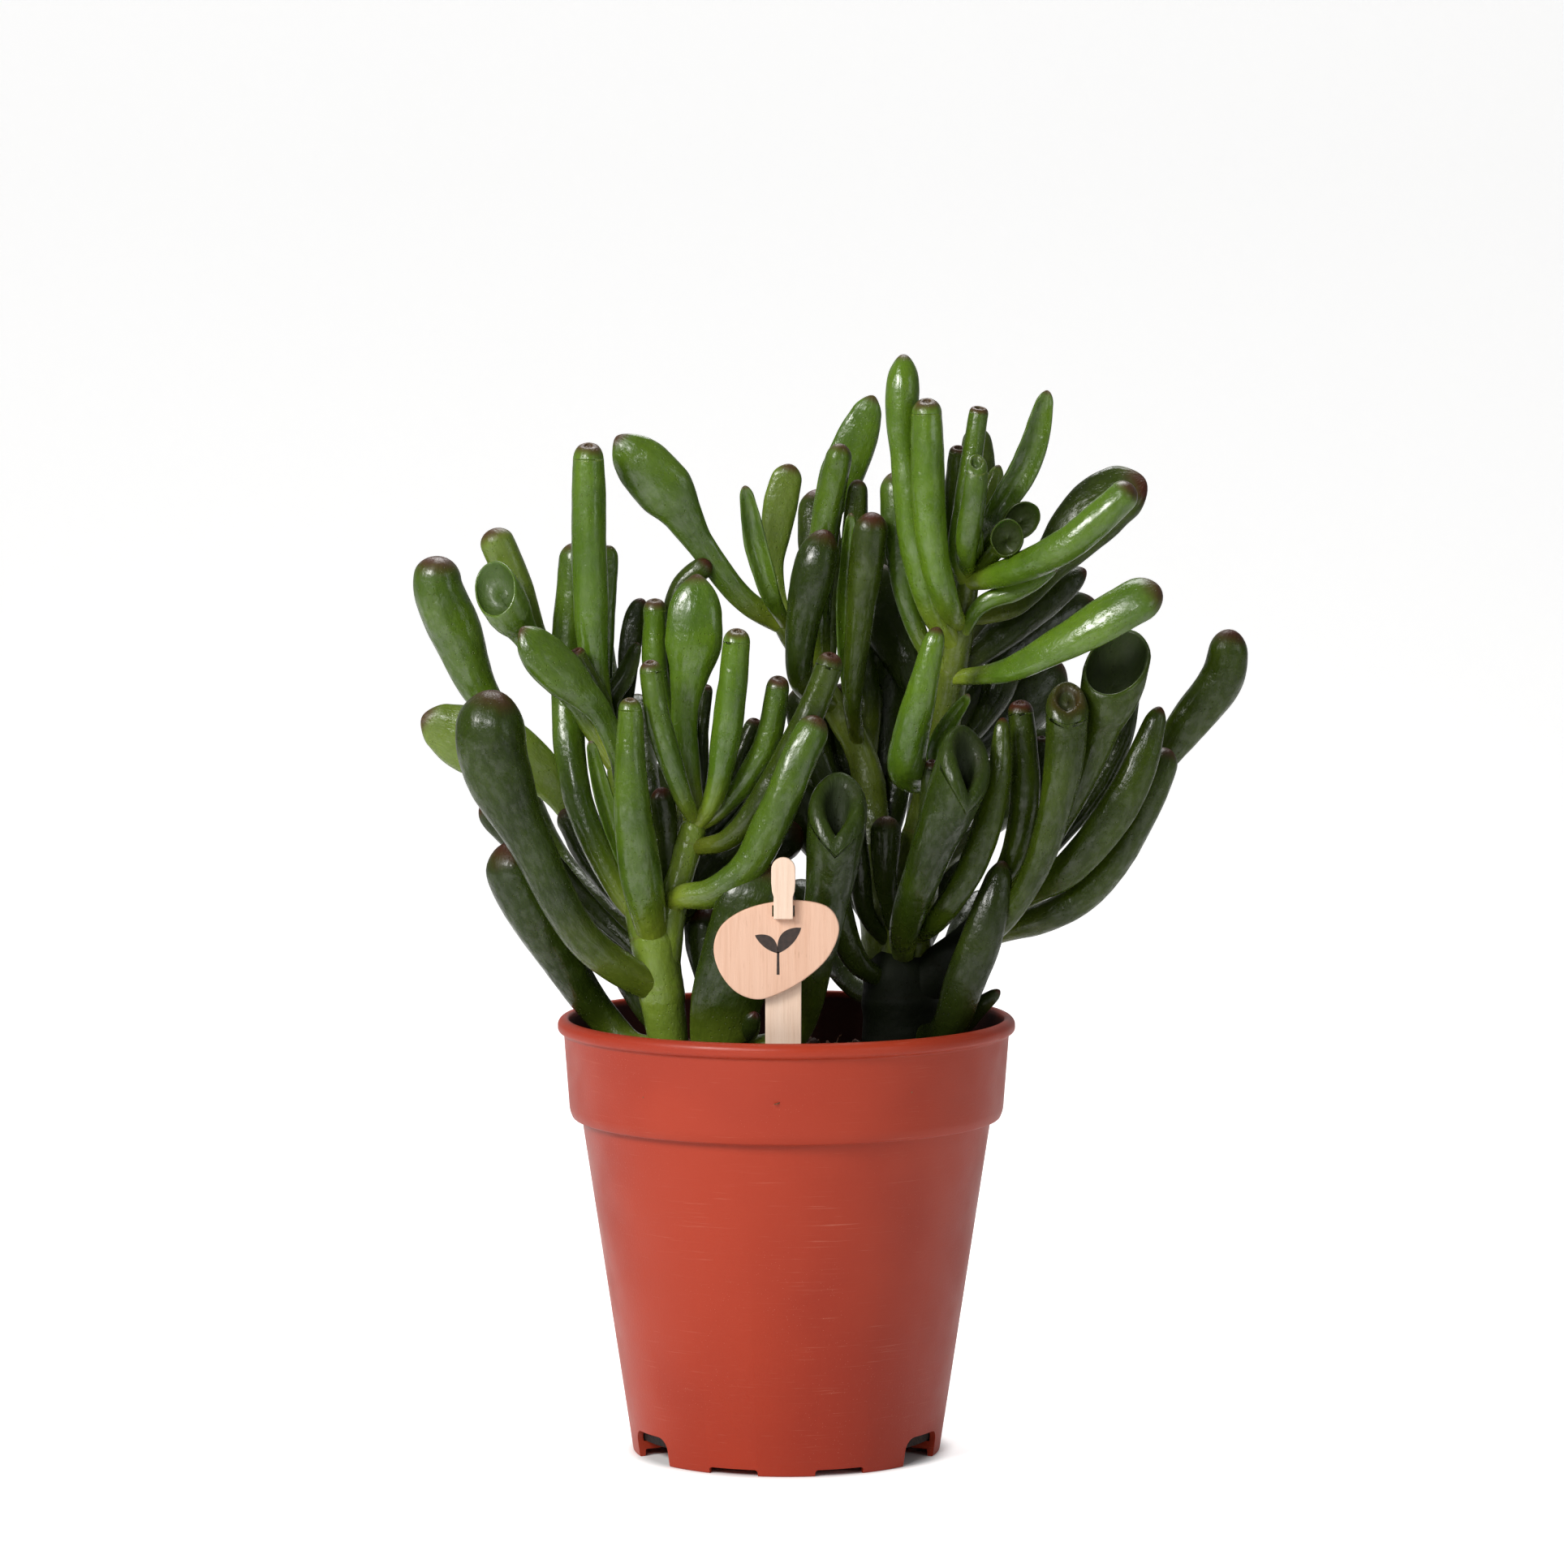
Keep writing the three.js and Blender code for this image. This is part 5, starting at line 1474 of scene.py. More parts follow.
    def _mesh(self, name: str, leaf: Leaf) -> bpy.types.Mesh:
        """Build a leaf's mesh."""
        tip = (leaf.end or leaf.shape.value.end).value
        foot = self.stems.spot(leaf.bearer, leaf.base)
        path = Path([foot, *(self.stems.above(point) for point in leaf.points)])
        seed = Vector((sum(ord(letter) for letter in name) % 97, leaf.width, leaf.base))
        girth = math.pi * leaf.width * MM
        rings: list[Ring] = []
        reach = 0.0
        for row in self._slices(leaf, tip, path.length):
            points = self._points(leaf, tip, path, row, seed)
            if rings:
                reach += max((a - b).length for a, b in zip(points[::8], rings[-1].points[::8]))
            values = {"along": min(1.0, row.along), "rim": row.rim, "inside": row.inside}
            rings.append(Ring(points, values, reach, girth))
        middle = sum(rings[-1].points, Vector()) / self.sides
        return ring_mesh(name, rings, path.point(0.0), middle)

    def build(self, name: str, leaf: Leaf, *nodes: str) -> bpy.types.Object:
        """Build and dress a leaf.

        Args:
            name: The piece's name.
            leaf: The leaf.
            nodes: The CAD node that it stands for, if any.

        Returns:
            The piece.
        """
        made = piece(name, self._mesh(name, leaf), MATERIALS[leaf.look])
        settle(made, "leaf_green", *nodes)
        return made


# ---------------------------------------------------------------- lathes and slabs


def rounded(corners: Sequence[Point], steps: int = 4) -> list[Row]:
    """Round the corners of an outline.

    Args:
        corners: (radius, height, size of the rounding) of each corner.
        steps: Points added on each rounding.

    Returns:
        The rounded outline.
    """
    made: list[Row] = []
    for index, (x, y, size) in enumerate(corners):
        corner = Vector((x, y))
        if size <= 0 or index in (0, len(corners) - 1):
            made.append((x, y))
            continue
        before = Vector(corners[index - 1][:2]) - corner
        after = Vector(corners[index + 1][:2]) - corner
        size = min(size, before.length * 0.48, after.length * 0.48)
        start = corner + before.normalized() * size
        end = corner + after.normalized() * size
        for step in range(steps + 1):
            share = step / steps
            point = start * (1 - share) ** 2 + corner * (2 * share * (1 - share)) + end * share**2
            made.append((point.x, point.y))
    return made


def lathe(name: str, outline: Sequence[Row], segments: int,
          shift: Callable[[Vector], Vector] | None = None) -> bpy.types.Mesh:
    """Turn an outline round the Z axis into a closed mesh.

    Args:
        name: Name of the mesh.
        outline: (radius, height) from the bottom centre round to the top centre, in metres.
        segments: Steps round the turn.
        shift: Moves each point, if given.

    Returns:
        The mesh.
    """
    rings = []
    top = max(height for _, height in outline)
    inner = False
    for radius, height in outline[1:-1]:
        inner = inner or height >= top
        # On the inner wall the edge value rises to 1 just below the lip; the pot's material paints shade
        # there.
        shade_below_lip = smooth(0.1 * MM, 1.6 * MM, top - height) if inner else 0.0
        points = []
        for step in range(segments):
            angle = step / segments * TAU
            point = Vector((radius * math.sin(angle), -radius * math.cos(angle), height))
            points.append(shift(point) if shift else point)
        rings.append(Ring(points, {"edge": shade_below_lip}, height, TAU * radius))
    return ring_mesh(name, rings, Vector((0, 0, outline[0][1])), Vector((0, 0, outline[-1][1])))


def slab(name: str, outline: Sequence[Row], front: float, thickness: float,
         edge: float, cut: bpy.types.Object | None = None) -> bpy.types.Mesh:
    """Make an upright board that faces the front, with softened edges.

    Args:
        name: Name of the mesh.
        outline: (x, z) round the board, anticlockwise seen from the front, in metres.
        front: Where its front face is along Y.
        thickness: Its thickness.
        edge: Width of the softening.
        cut: A closed object to cut out of it, if any.

    Returns:
        The mesh, with an attribute that is 1 on the cut edge.
    """
    shape = bmesh.new()
    thicken(shape, [(x, front, z) for x, z in outline], thickness)
    sharp = [item for item in shape.edges if item.calc_face_angle(0.0) > 0.9]
    bmesh.ops.bevel(shape, geom=sharp, offset=edge, segments=3, affect="EDGES", profile=0.6)
    mesh = from_bmesh(name, shape)
    if cut is not None:
        holder = in_scene("holder", mesh)
        mesh = cut_by(holder, [cut])
        bpy.data.objects.remove(holder)
    middle = front + thickness / 2
    cut_edge = thickness / 2 - edge * 0.8
    share = [1.0 if abs(vertex.co.y - middle) < cut_edge else 0.0 for vertex in mesh.vertices]
    mesh.attributes.new("edge", "FLOAT", "POINT").data.foreach_set("value", share)
    return mesh


def boxed(name: str, low: Vector, high: Vector) -> bpy.types.Object:
    """Return a plain box used as a cutter, from its two corners."""
    shape = bmesh.new()
    bmesh.ops.create_cube(shape, size=1.0)
    stretch = Matrix.Translation((low + high) / 2) @ Matrix.Diagonal((*(high - low), 1))
    bmesh.ops.transform(shape, matrix=stretch, verts=shape.verts)
    return in_scene(name, from_bmesh(name, shape))


# ---------------------------------------------------------------- pot


@dataclass
class Pot:
    """The nursery pot: a tapered wall, a deep band, a rolled lip and drainage cuts in the foot.

    Sizes are metres. Its height and lip come from the CAD model's box.
    """

    radius: float
    height: float
    lip_height: float = 3 * MM
    band_top: float = 43.9 * MM
    band_bottom: float = 42.7 * MM
    band_height: float = 16.8 * MM
    step_radius: float = 40.3 * MM
    step_height: float = 1.6 * MM
    base_radius: float = 30.3 * MM
    wall: float = 1.2 * MM
    floor_raise: float = 1.4 * MM
    floor: float = 1.6 * MM
    soft: float = 0.35 * MM
    centre_foot: float = 11 * MM
    notches: int = 3
    notch_width: float = 12 * MM
    notch_height: float = 5.6 * MM
    notch_corner: float = 2.4 * MM
    notch_depth: float = 6 * MM
    slot_width: float = 10 * MM
    slot_height: float = 1.3 * MM
    slot_turn: float = math.radians(20)
    segments: int = 240

    def outline(self) -> list[Row]:
        """Return the pot's section from the underside's centre round to the floor's centre."""
        band_low = self.height - self.lip_height - self.band_height
        inner_step = self.step_radius - self.wall
        slope = (self.step_radius - self.base_radius) / band_low
        floor_top = self.floor_raise + self.floor
        soft = self.soft
        return rounded([
            (0, 0, 0), (self.centre_foot, 0, soft), (self.centre_foot, self.floor_raise, soft),
            (self.base_radius - self.wall, self.floor_raise, soft), (self.base_radius - self.wall, 0, soft),
            (self.base_radius, 0, soft), (self.step_radius, band_low, 0.5 * MM),
            (self.band_bottom - self.wall * 0.5, band_low + 0.1 * MM, soft),
            (self.band_bottom, band_low + self.step_height, 0.9 * MM),
            (self.band_top - 0.1 * MM, self.height - self.lip_height * 1.05, soft),
            (self.radius, self.height - self.lip_height * 0.86, 0.6 * MM),
            (self.radius, self.height - self.lip_height * 0.3, 0.8 * MM),
            (self.radius - 0.9 * MM, self.height, 0.9 * MM),
            (self.band_top - self.wall + 0.2 * MM, self.height, 0.6 * MM),
            (self.band_top - self.wall, self.height - self.lip_height * 0.5, soft),
            (self.band_bottom - self.wall, band_low + self.step_height, soft),
            (inner_step, band_low, soft), (inner_step - slope * (band_low - floor_top), floor_top, soft),
            (0, floor_top, 0),
        ])

    def _arch(self, angle: float, width: float, height: float, corner: float,
              depth: float) -> bpy.types.Object:
        """Make an arch-topped bar that passes through the foot at an angle round the pot."""
        half = width / 2
        spare = 3 * MM
        outer = -self.base_radius - spare
        points = [(-half, outer, -spare), (half, outer, -spare)]
        for middle, first in ((half - corner, 0.0), (corner - half, math.pi / 2)):
            for step in range(7):
                turn = first + step / 6 * math.pi / 2
                across = middle + corner * math.cos(turn)
                points.append((across, outer, height - corner + corner * math.sin(turn)))
        shape = bmesh.new()
        thicken(shape, points, depth + spare)
        bmesh.ops.rotate(shape, verts=shape.verts, cent=(0, 0, 0), matrix=Matrix.Rotation(angle, 3, "Z"))
        return in_scene("cut", from_bmesh("cut", shape))

    def build(self) -> bpy.types.Object:
        """Build the pot.

        Returns:
            The piece.
        """
        body = piece("pot_look", lathe("pot", self.outline(), self.segments), MATERIALS_POT)
        notch = (self.notch_width, self.notch_height, self.notch_corner, self.notch_depth)
        slot = (self.slot_width, self.slot_height, self.slot_height * 0.49, self.wall * 2)
        cutters = []
        for index in range(self.notches):
            middle = index * TAU / self.notches
            cutters.append(self._arch(middle + math.pi / self.notches, *notch))
            cutters += [self._arch(middle + turn, *slot) for turn in (-self.slot_turn, self.slot_turn)]
        body.data = cut_by(body, cutters)
        smoothed(body.data)
        body.data.set_sharp_from_angle(angle=math.radians(50))
        settle(body, "pot_plastic", "pot")
        return body


# ---------------------------------------------------------------- soil


def growth_tree(name: str, sizes: dict[str, float],
                build: Callable[[Graph, Sockets], Socket]) -> bpy.types.NodeTree:
    """Make a Geometry Nodes tree with named inputs, a seed and a material.

    Args:
        name: Name of the tree.
        sizes: The names of its number inputs with their defaults.
        build: Builds the inside and returns the grown geometry.

    Returns:
        The tree.
    """
    tree = bpy.data.node_groups.new(name, "GeometryNodeTree")
    for way in ("INPUT", "OUTPUT"):
        tree.interface.new_socket(name="Geometry", in_out=way, socket_type="NodeSocketGeometry")
    for key, value in sizes.items():
        socket = tree.interface.new_socket(name=key, in_out="INPUT", socket_type="NodeSocketFloat")
        socket.default_value = value
    tree.interface.new_socket(name="Seed", in_out="INPUT", socket_type="NodeSocketInt")
    tree.interface.new_socket(name="Material", in_out="INPUT", socket_type="NodeSocketMaterial")
    graph = Graph(tree)
    source = graph.add("NodeGroupInput")
    given = {socket.name: socket for socket in source.outputs if socket.name}
    single = graph.fill(graph.add("GeometryNodeRealizeInstances"), Geometry=build(graph, given))
    dressed = graph.add("GeometryNodeSetMaterial")
    graph.fill(dressed, Geometry=single.outputs[0], Material=given["Material"])
    graph.fill(graph.add("NodeGroupOutput"), Geometry=dressed.outputs[0])
    return tree


def strewn(graph: Graph, given: Sockets, item: Socket, turn: bpy.types.Node, size: Socket) -> Socket:
    """Put an item on points scattered over the given surface.

    Args:
        graph: The tree's graph.
        given: The tree's inputs.
        item: What is strewn.
        turn: A random vector node, for the item's turn.
        size: The item's scale.

    Returns:
        The strewn geometry, made real.
    """
    points = graph.add("GeometryNodeDistributePointsOnFaces", distribute_method="RANDOM")
    graph.fill(points, Mesh=given["Geometry"], Density=given["Density"], Seed=given["Seed"])
    placed = graph.add("GeometryNodeInstanceOnPoints")
    graph.fill(placed, Points=points.outputs["Points"], Instance=item, Rotation=turn.outputs[0], Scale=size)
    return graph.fill(graph.add("GeometryNodeRealizeInstances"), Geometry=placed.outputs[0]).outputs[0]


def random_turn(graph: Graph, low: Point, high: Point) -> bpy.types.Node:
    """Return a random vector node between two limits."""
    turn = graph.add("FunctionNodeRandomValue", data_type="FLOAT_VECTOR")
    graph.feed(turn.inputs[0], low)
    graph.feed(turn.inputs[1], high)
    return turn


def random_size(graph: Graph, low: Socket, high: Socket) -> Socket:
    """Return a random number between two inputs."""
    size = graph.add("FunctionNodeRandomValue", data_type="FLOAT")
    graph.feed(size.inputs[2], low)
    graph.feed(size.inputs[3], high)
    return size.outputs[1]


def pushed(graph: Graph, geometry: Socket, scale: float, middle: Point, amount: Socket) -> Socket:
    """Move every point of a geometry by a noise.

    Args:
        graph: The tree's graph.
        geometry: What is moved.
        scale: The noise's scale, per metre.
        middle: The noise value that moves nothing.
        amount: How far the noise moves a point.

    Returns:
        The moved geometry.
    """
    wave = graph.fill(graph.add("ShaderNodeTexNoise"), Scale=scale)
    centred = graph.vector_math("SUBTRACT", wave.outputs["Color"], middle)
    offset = graph.vector_math("SCALE", centred.outputs[0], amount)
    moved = graph.add("GeometryNodeSetPosition")
    return graph.fill(moved, Geometry=geometry, Offset=offset.outputs[0]).outputs[0]


def grow(thing: bpy.types.Object, tree: bpy.types.NodeTree, values: dict[str, object]) -> bpy.types.Mesh:
    """Run a tree on an object with its own sizes and return the plain mesh.

    Args:
        thing: The object that it grows on.
        tree: The Geometry Nodes tree.
        values: Values of the tree's inputs, by name.

    Returns:
        The mesh that it makes.
    """
    modifier = thing.modifiers.new(tree.name, "NODES")
    modifier.node_group = tree
    known = {item.name: item.identifier for item in tree.interface.items_tree
             if getattr(item, "in_out", "") == "INPUT"}
    for key, value in values.items():
        modifier[known[key]] = value
    return applied(thing)


def crumb_tree() -> bpy.types.NodeTree:
    """Return the tree that strews uneven grains over a surface."""

    def build(graph: Graph, given: Sockets) -> Socket:
        """Scatter points and put an uneven grain on each."""
        grain = graph.fill(graph.add("GeometryNodeMeshIcoSphere"), Radius=1.0, Subdivisions=2)
        turn = random_turn(graph, (0, 0, 0), (TAU, TAU, TAU))
        graph.feed(turn.inputs["Seed"], given["Seed"])
        shape = graph.fill(graph.add("ShaderNodeCombineXYZ"), X=given["Length"], Y=1.0, Z=given["Flatness"])
        size = random_size(graph, given["Smallest"], given["Largest"])
        scale = graph.vector_math("SCALE", shape.outputs[0], size)
        grains = strewn(graph, given, grain.outputs["Mesh"], turn, scale.outputs[0])
        return pushed(graph, grains, 900.0, (0.5, 0.5, 0.5), given["Unevenness"])

    sizes = {
        "Density": 100000.0, "Smallest": 0.0003, "Largest": 0.001, "Length": 1.2, "Flatness": 0.7,
        "Unevenness": 0.0008,
    }
    return growth_tree("crumbs", sizes, build)


def fibre_tree() -> bpy.types.NodeTree:
    """Return the tree that lays fine bent fibres on a surface."""

    def build(graph: Graph, given: Sockets) -> Socket:
        """Scatter short lines, bend them with noise and give them a thickness."""
        line = graph.fill(graph.add("GeometryNodeCurvePrimitiveLine"), Start=(-0.5, 0, 0), End=(0.5, 0, 0))
        fine = graph.fill(graph.add("GeometryNodeResampleCurve"), Curve=line.outputs[0], Count=12)
        turn = random_turn(graph, (-0.35, -0.35, 0), (0.35, 0.35, TAU))
        size = random_size(graph, given["Shortest"], given["Longest"])
        lines = strewn(graph, given, fine.outputs[0], turn, size)
        bent = pushed(graph, lines, 260.0, (0.5, 0.5, 0.4), given["Bend"])
        ring = graph.fill(graph.add("GeometryNodeCurvePrimitiveCircle"), Resolution=6, Radius=given["Radius"])
        solid = graph.add("GeometryNodeCurveToMesh")
        return graph.fill(solid, Curve=bent, Profile_Curve=ring.outputs[0], Fill_Caps=True).outputs[0]

    sizes = {"Density": 20000.0, "Shortest": 0.004, "Longest": 0.012, "Bend": 0.006, "Radius": 0.00012}
    return growth_tree("fibres", sizes, build)


@dataclass
class Soil:
    """Damp compost with crumbs, bark, perlite and fibres on it.

    Attributes:
        low: Low corner of the CAD soil's box.
        high: High corner of the CAD soil's box.
        pot: The pot that it fills.
        crown: How much lower the soil is at the wall.
        gap: Space left at the wall.
        mound: Height of the broad unevenness.
        ripple: Height of the fine unevenness.
        segments: Steps round the top.
        rings: Rings from the wall to the middle.
    """

    low: Vector
    high: Vector
    pot: Pot
    crown: float = 0.8 * MM
    gap: float = 0.3 * MM
    mound: float = 1.1 * MM
    ripple: float = 0.5 * MM
    segments: int = 160
    rings: int = 46

    def _uneven(self, point: Vector) -> Vector:
        """Return a point of the top moved by the soil's unevenness."""
        if point.z < self.high.z - 2 * MM:
            return point
        rise = noise.noise(point * 55) * self.mound + noise.noise(point * 240) * self.ripple
        return point + Vector((0, 0, rise - 0.4 * MM))

    def build(self) -> list[bpy.types.Object]:
        """Build the soil and what lies on it.

        Returns:
            The pieces.
        """
        pot = self.pot
        band_low = pot.height - pot.lip_height - pot.band_height
        inner_step = pot.step_radius - pot.wall - self.gap
        slope = (pot.step_radius - pot.base_radius) / band_low
        floor = self.low.z
        top = self.high.z
        share = (top - band_low) / pot.band_height
        edge = pot.band_bottom + (pot.band_top - pot.band_bottom) * share - pot.wall - self.gap
        outline = [
            (0, floor), (inner_step - slope * (band_low - floor), floor), (inner_step, band_low + self.gap),
            (pot.band_bottom - pot.wall - self.gap, band_low + pot.step_height + self.gap),
            (edge, top - self.crown),
        ]
        for step in range(1, self.rings):
            outline.append((edge * (1 - step / self.rings), top - self.crown * (1 - step / self.rings)))
        outline.append((0, top))
        soil = piece("soil_look", lathe("soil", outline, self.segments, self._uneven), SOILS["compost"])
        settle(soil, "potting_soil", "soil")
        made = [soil]
        kinds = (
            ("soil_crumbs", crumb_tree(), "compost", dict(Density=420000.0, Largest=0.0011, Seed=4)),
            ("soil_bark", crumb_tree(), "bark", dict(
                Density=52000.0, Smallest=0.0006, Largest=0.0019, Length=1.9, Flatness=0.35, Seed=9)),
            ("soil_perlite", crumb_tree(), "perlite", dict(
                Density=2600.0, Smallest=0.0005, Largest=0.0011, Seed=15)),
            ("soil_fibres", fibre_tree(), "fibre", dict(Density=22000.0, Seed=21)),
        )
        for name, tree, finish, sizes in kinds:
            made.append(self._strew(name, tree, {**sizes, "Material": SOILS[finish]}, edge - 0.6 * MM))
        return made

    def _strew(self, name: str, tree: bpy.types.NodeTree, sizes: dict[str, object],
               radius: float) -> bpy.types.Object:
        """Strew one kind of grain over the top.

        Args:
            name: The piece's name.
            tree: The Geometry Nodes tree.
            sizes: The tree's inputs.
            radius: How far out the grains go.

        Returns:
            The piece.
        """
        shape = bmesh.new()
        bmesh.ops.create_grid(shape, x_segments=80, y_segments=80, size=radius)
        outside = [vertex for vertex in shape.verts if vertex.co.xy.length > radius]
        bmesh.ops.delete(shape, geom=outside, context="VERTS")
        for vertex in shape.verts:
            reach = vertex.co.xy.length / radius
            vertex.co = self._uneven(Vector((vertex.co.x, vertex.co.y, self.high.z - self.crown * reach)))
        bed = in_scene("bed", from_bmesh("bed", shape))
        mesh = grow(bed, tree, sizes)
        bpy.data.objects.remove(bed)
        smoothed(mesh)
        made = piece(name, mesh, sizes["Material"])
        settle(made, "potting_soil")
        return made


# ---------------------------------------------------------------- label


@dataclass
class Label:
    """The wooden stick and the tag that hangs on it, with a small sprout printed on the tag.

    Attributes:
        ground: Centre of the soil's top.
        tag_low: Low corner of the CAD tag's box.
        tag_high: High corner of the CAD tag's box.
        stake_low: Low corner of the CAD stick's box.
        stake_high: High corner of the CAD stick's box.
    """

    ground: Vector
    tag_low: Vector
    tag_high: Vector
    stake_low: Vector
    stake_high: Vector
    neck: float = 3.7 * MM
    knob: float = 4.6 * MM
    knob_length: float = 7.5 * MM
    shoulder: float = 32 * MM
    slit: float = 34.6 * MM
    slit_height: float = 2.2 * MM
    thickness: float = 1.4 * MM
    gap: float = 0.3 * MM
    soft: float = 0.22 * MM
    tag_outline: tuple[Row, ...] = (
        (-13.9, 27.5), (-12.6, 31.5), (-8.9, 34.4), (-3, 36.2), (3.8, 36.5), (8.4, 35), (10.1, 31.5),
        (8.4, 26.3), (4.2, 22), (-1, 18.9), (-5.4, 17.6), (-9.4, 18.9), (-12.7, 22.8),
    )

    def _stick(self) -> bpy.types.Object:
        """Build the stick: a broad blade behind the tag, and a thin top that comes out through the slit."""
        middle = (self.stake_low.x + self.stake_high.x) / 2
        half = (self.stake_high.x - self.stake_low.x) / 2
        neck = self.neck / 2
        ground = self.ground.z
        root = self.stake_low.z + half
        shoulder = ground + self.shoulder
        slit_top = ground + self.slit + self.slit_height / 2 - self.gap
        slit_low = ground + self.slit - self.slit_height / 2 + self.gap
        blade = [(middle + half * math.cos(a), root + half * 0.6 * math.sin(a))
                 for a in (math.pi + step / 10 * math.pi for step in range(11))]
        blade += [(middle + half, shoulder - 2 * MM), (middle + neck, shoulder), (middle + neck, slit_top),
                  (middle - neck, slit_top), (middle - neck, shoulder), (middle - half, shoulder - 2 * MM)]
        back = self.tag_high.y + self.gap
        parts = [piece("blade", slab("blade", blade, back, self.thickness, self.soft), WOODS["stake"])]
        top = self.stake_high.z
        knob = self.knob / 2
        start = top - self.knob_length
        hem = slit_low - 2 * self.gap
        head = [(middle - neck, hem), (middle + neck, hem), (middle + neck, start),
                (middle + neck + 0.3 * MM, start + 1 * MM), (middle + knob, start + 2.6 * MM)]
        head += [(middle + knob * math.cos(a), top - knob + knob * math.sin(a))
                 for a in (step / 14 * math.pi for step in range(15))]
        head += [(middle - knob, start + 2.6 * MM), (middle - neck - 0.3 * MM, start + 1 * MM),
                 (middle - neck, start)]
        front = self.tag_low.y - self.gap - self.thickness
        parts.append(piece("head", slab("head", head, front, self.thickness, self.soft), WOODS["stake"]))
        bridge = [(middle - neck, slit_low), (middle + neck, slit_low)]
        bridge += [(middle + neck, slit_top), (middle - neck, slit_top)]
        buried = self.thickness / 2
        depth = back - front
        through = slab("bridge", bridge, front + buried, depth, self.soft / 2)
        parts.append(piece("bridge", through, WOODS["stake"]))
        made = join("label_stake_look", parts)
        settle(made, "stake_wood", "label_stake")
        return made

    def _tag(self) -> bpy.types.Object:
        """Build the tag with its slit."""
        middle = (self.stake_low.x + self.stake_high.x) / 2
        corners = [Vector((x * MM, 0, self.ground.z + z * MM)) for x, z in self.tag_outline]
        loop = Path([*corners[-2:], *corners, *corners[:3]], 10)
        span = 10 * len(corners)
        outline = [(point.x, point.z) for point in loop.samples[20 : 20 + span]]
        low, high = min(x for x, _ in outline), max(x for x, _ in outline)
        grow_by = (self.tag_high.x - self.tag_low.x) / (high - low)
        outline = [(self.tag_low.x + (x - low) * grow_by, z) for x, z in outline]
        half = self.neck / 2 + self.gap
        reach = Vector((half, 0.01, self.slit_height / 2))
        centre = Vector((middle, self.tag_low.y, self.ground.z + self.slit))
        cutter = boxed("slit", centre - reach, centre + reach)
        depth = self.tag_high.y - self.tag_low.y
        mesh = slab("tag", outline, self.tag_low.y, depth, self.soft * 1.6, cutter)
        made = piece("label_tag_look", mesh, WOODS["tag"])
        settle(made, "tag_wood", "label_tag")
        return made

    def _sprout(self) -> bpy.types.Object:
        """Build the printed sprout: a short stalk with two plain leaves."""
        shape = bmesh.new()
        front = self.tag_low.y - 0.03 * MM
        foot = Vector((-1.6 * MM, front, self.ground.z + 22.4 * MM))
        rise = 4.4 * MM

        def patch(points: Iterable[Row]) -> None:
            """Add a thin flat patch given by (across, up) in metres from the stalk's foot."""
            thicken(shape, [foot + Vector((x, 0, z)) for x, z in points], 0.05 * MM)

        stalk = 0.28 * MM
        patch([(-stalk, 0), (stalk, 0), (stalk * 0.8, rise), (-stalk * 0.8, rise)])
        for side, length, turn in ((-1, 5.6 * MM, math.radians(38)), (1, 6.6 * MM, math.radians(48))):
            way = Vector((side * math.cos(turn), math.sin(turn)))
            out = Vector((-way.y, way.x)) * side
            edge = []
            for step in range(13):
                share = step / 12
                edge.append(way * (length * share) + out * (math.sin(share * math.pi) ** 0.8 * length * 0.3))
            for step in range(11, 0, -1):
                share = step / 12
                edge.append(way * (length * share) - out * (math.sin(share * math.pi) ** 0.8 * length * 0.12))
            patch([(point.x, point.y + rise - 0.3 * MM) for point in edge])
        made = piece("label_sprout", from_bmesh("sprout", shape), INK)
        settle(made, "tag_wood")
        return made

    def build(self) -> list[bpy.types.Object]:
        """Build the stick, the tag and its print.

        Returns:
            The pieces.
        """
        return [self._stick(), self._tag(), self._sprout()]


# ---------------------------------------------------------------- studio


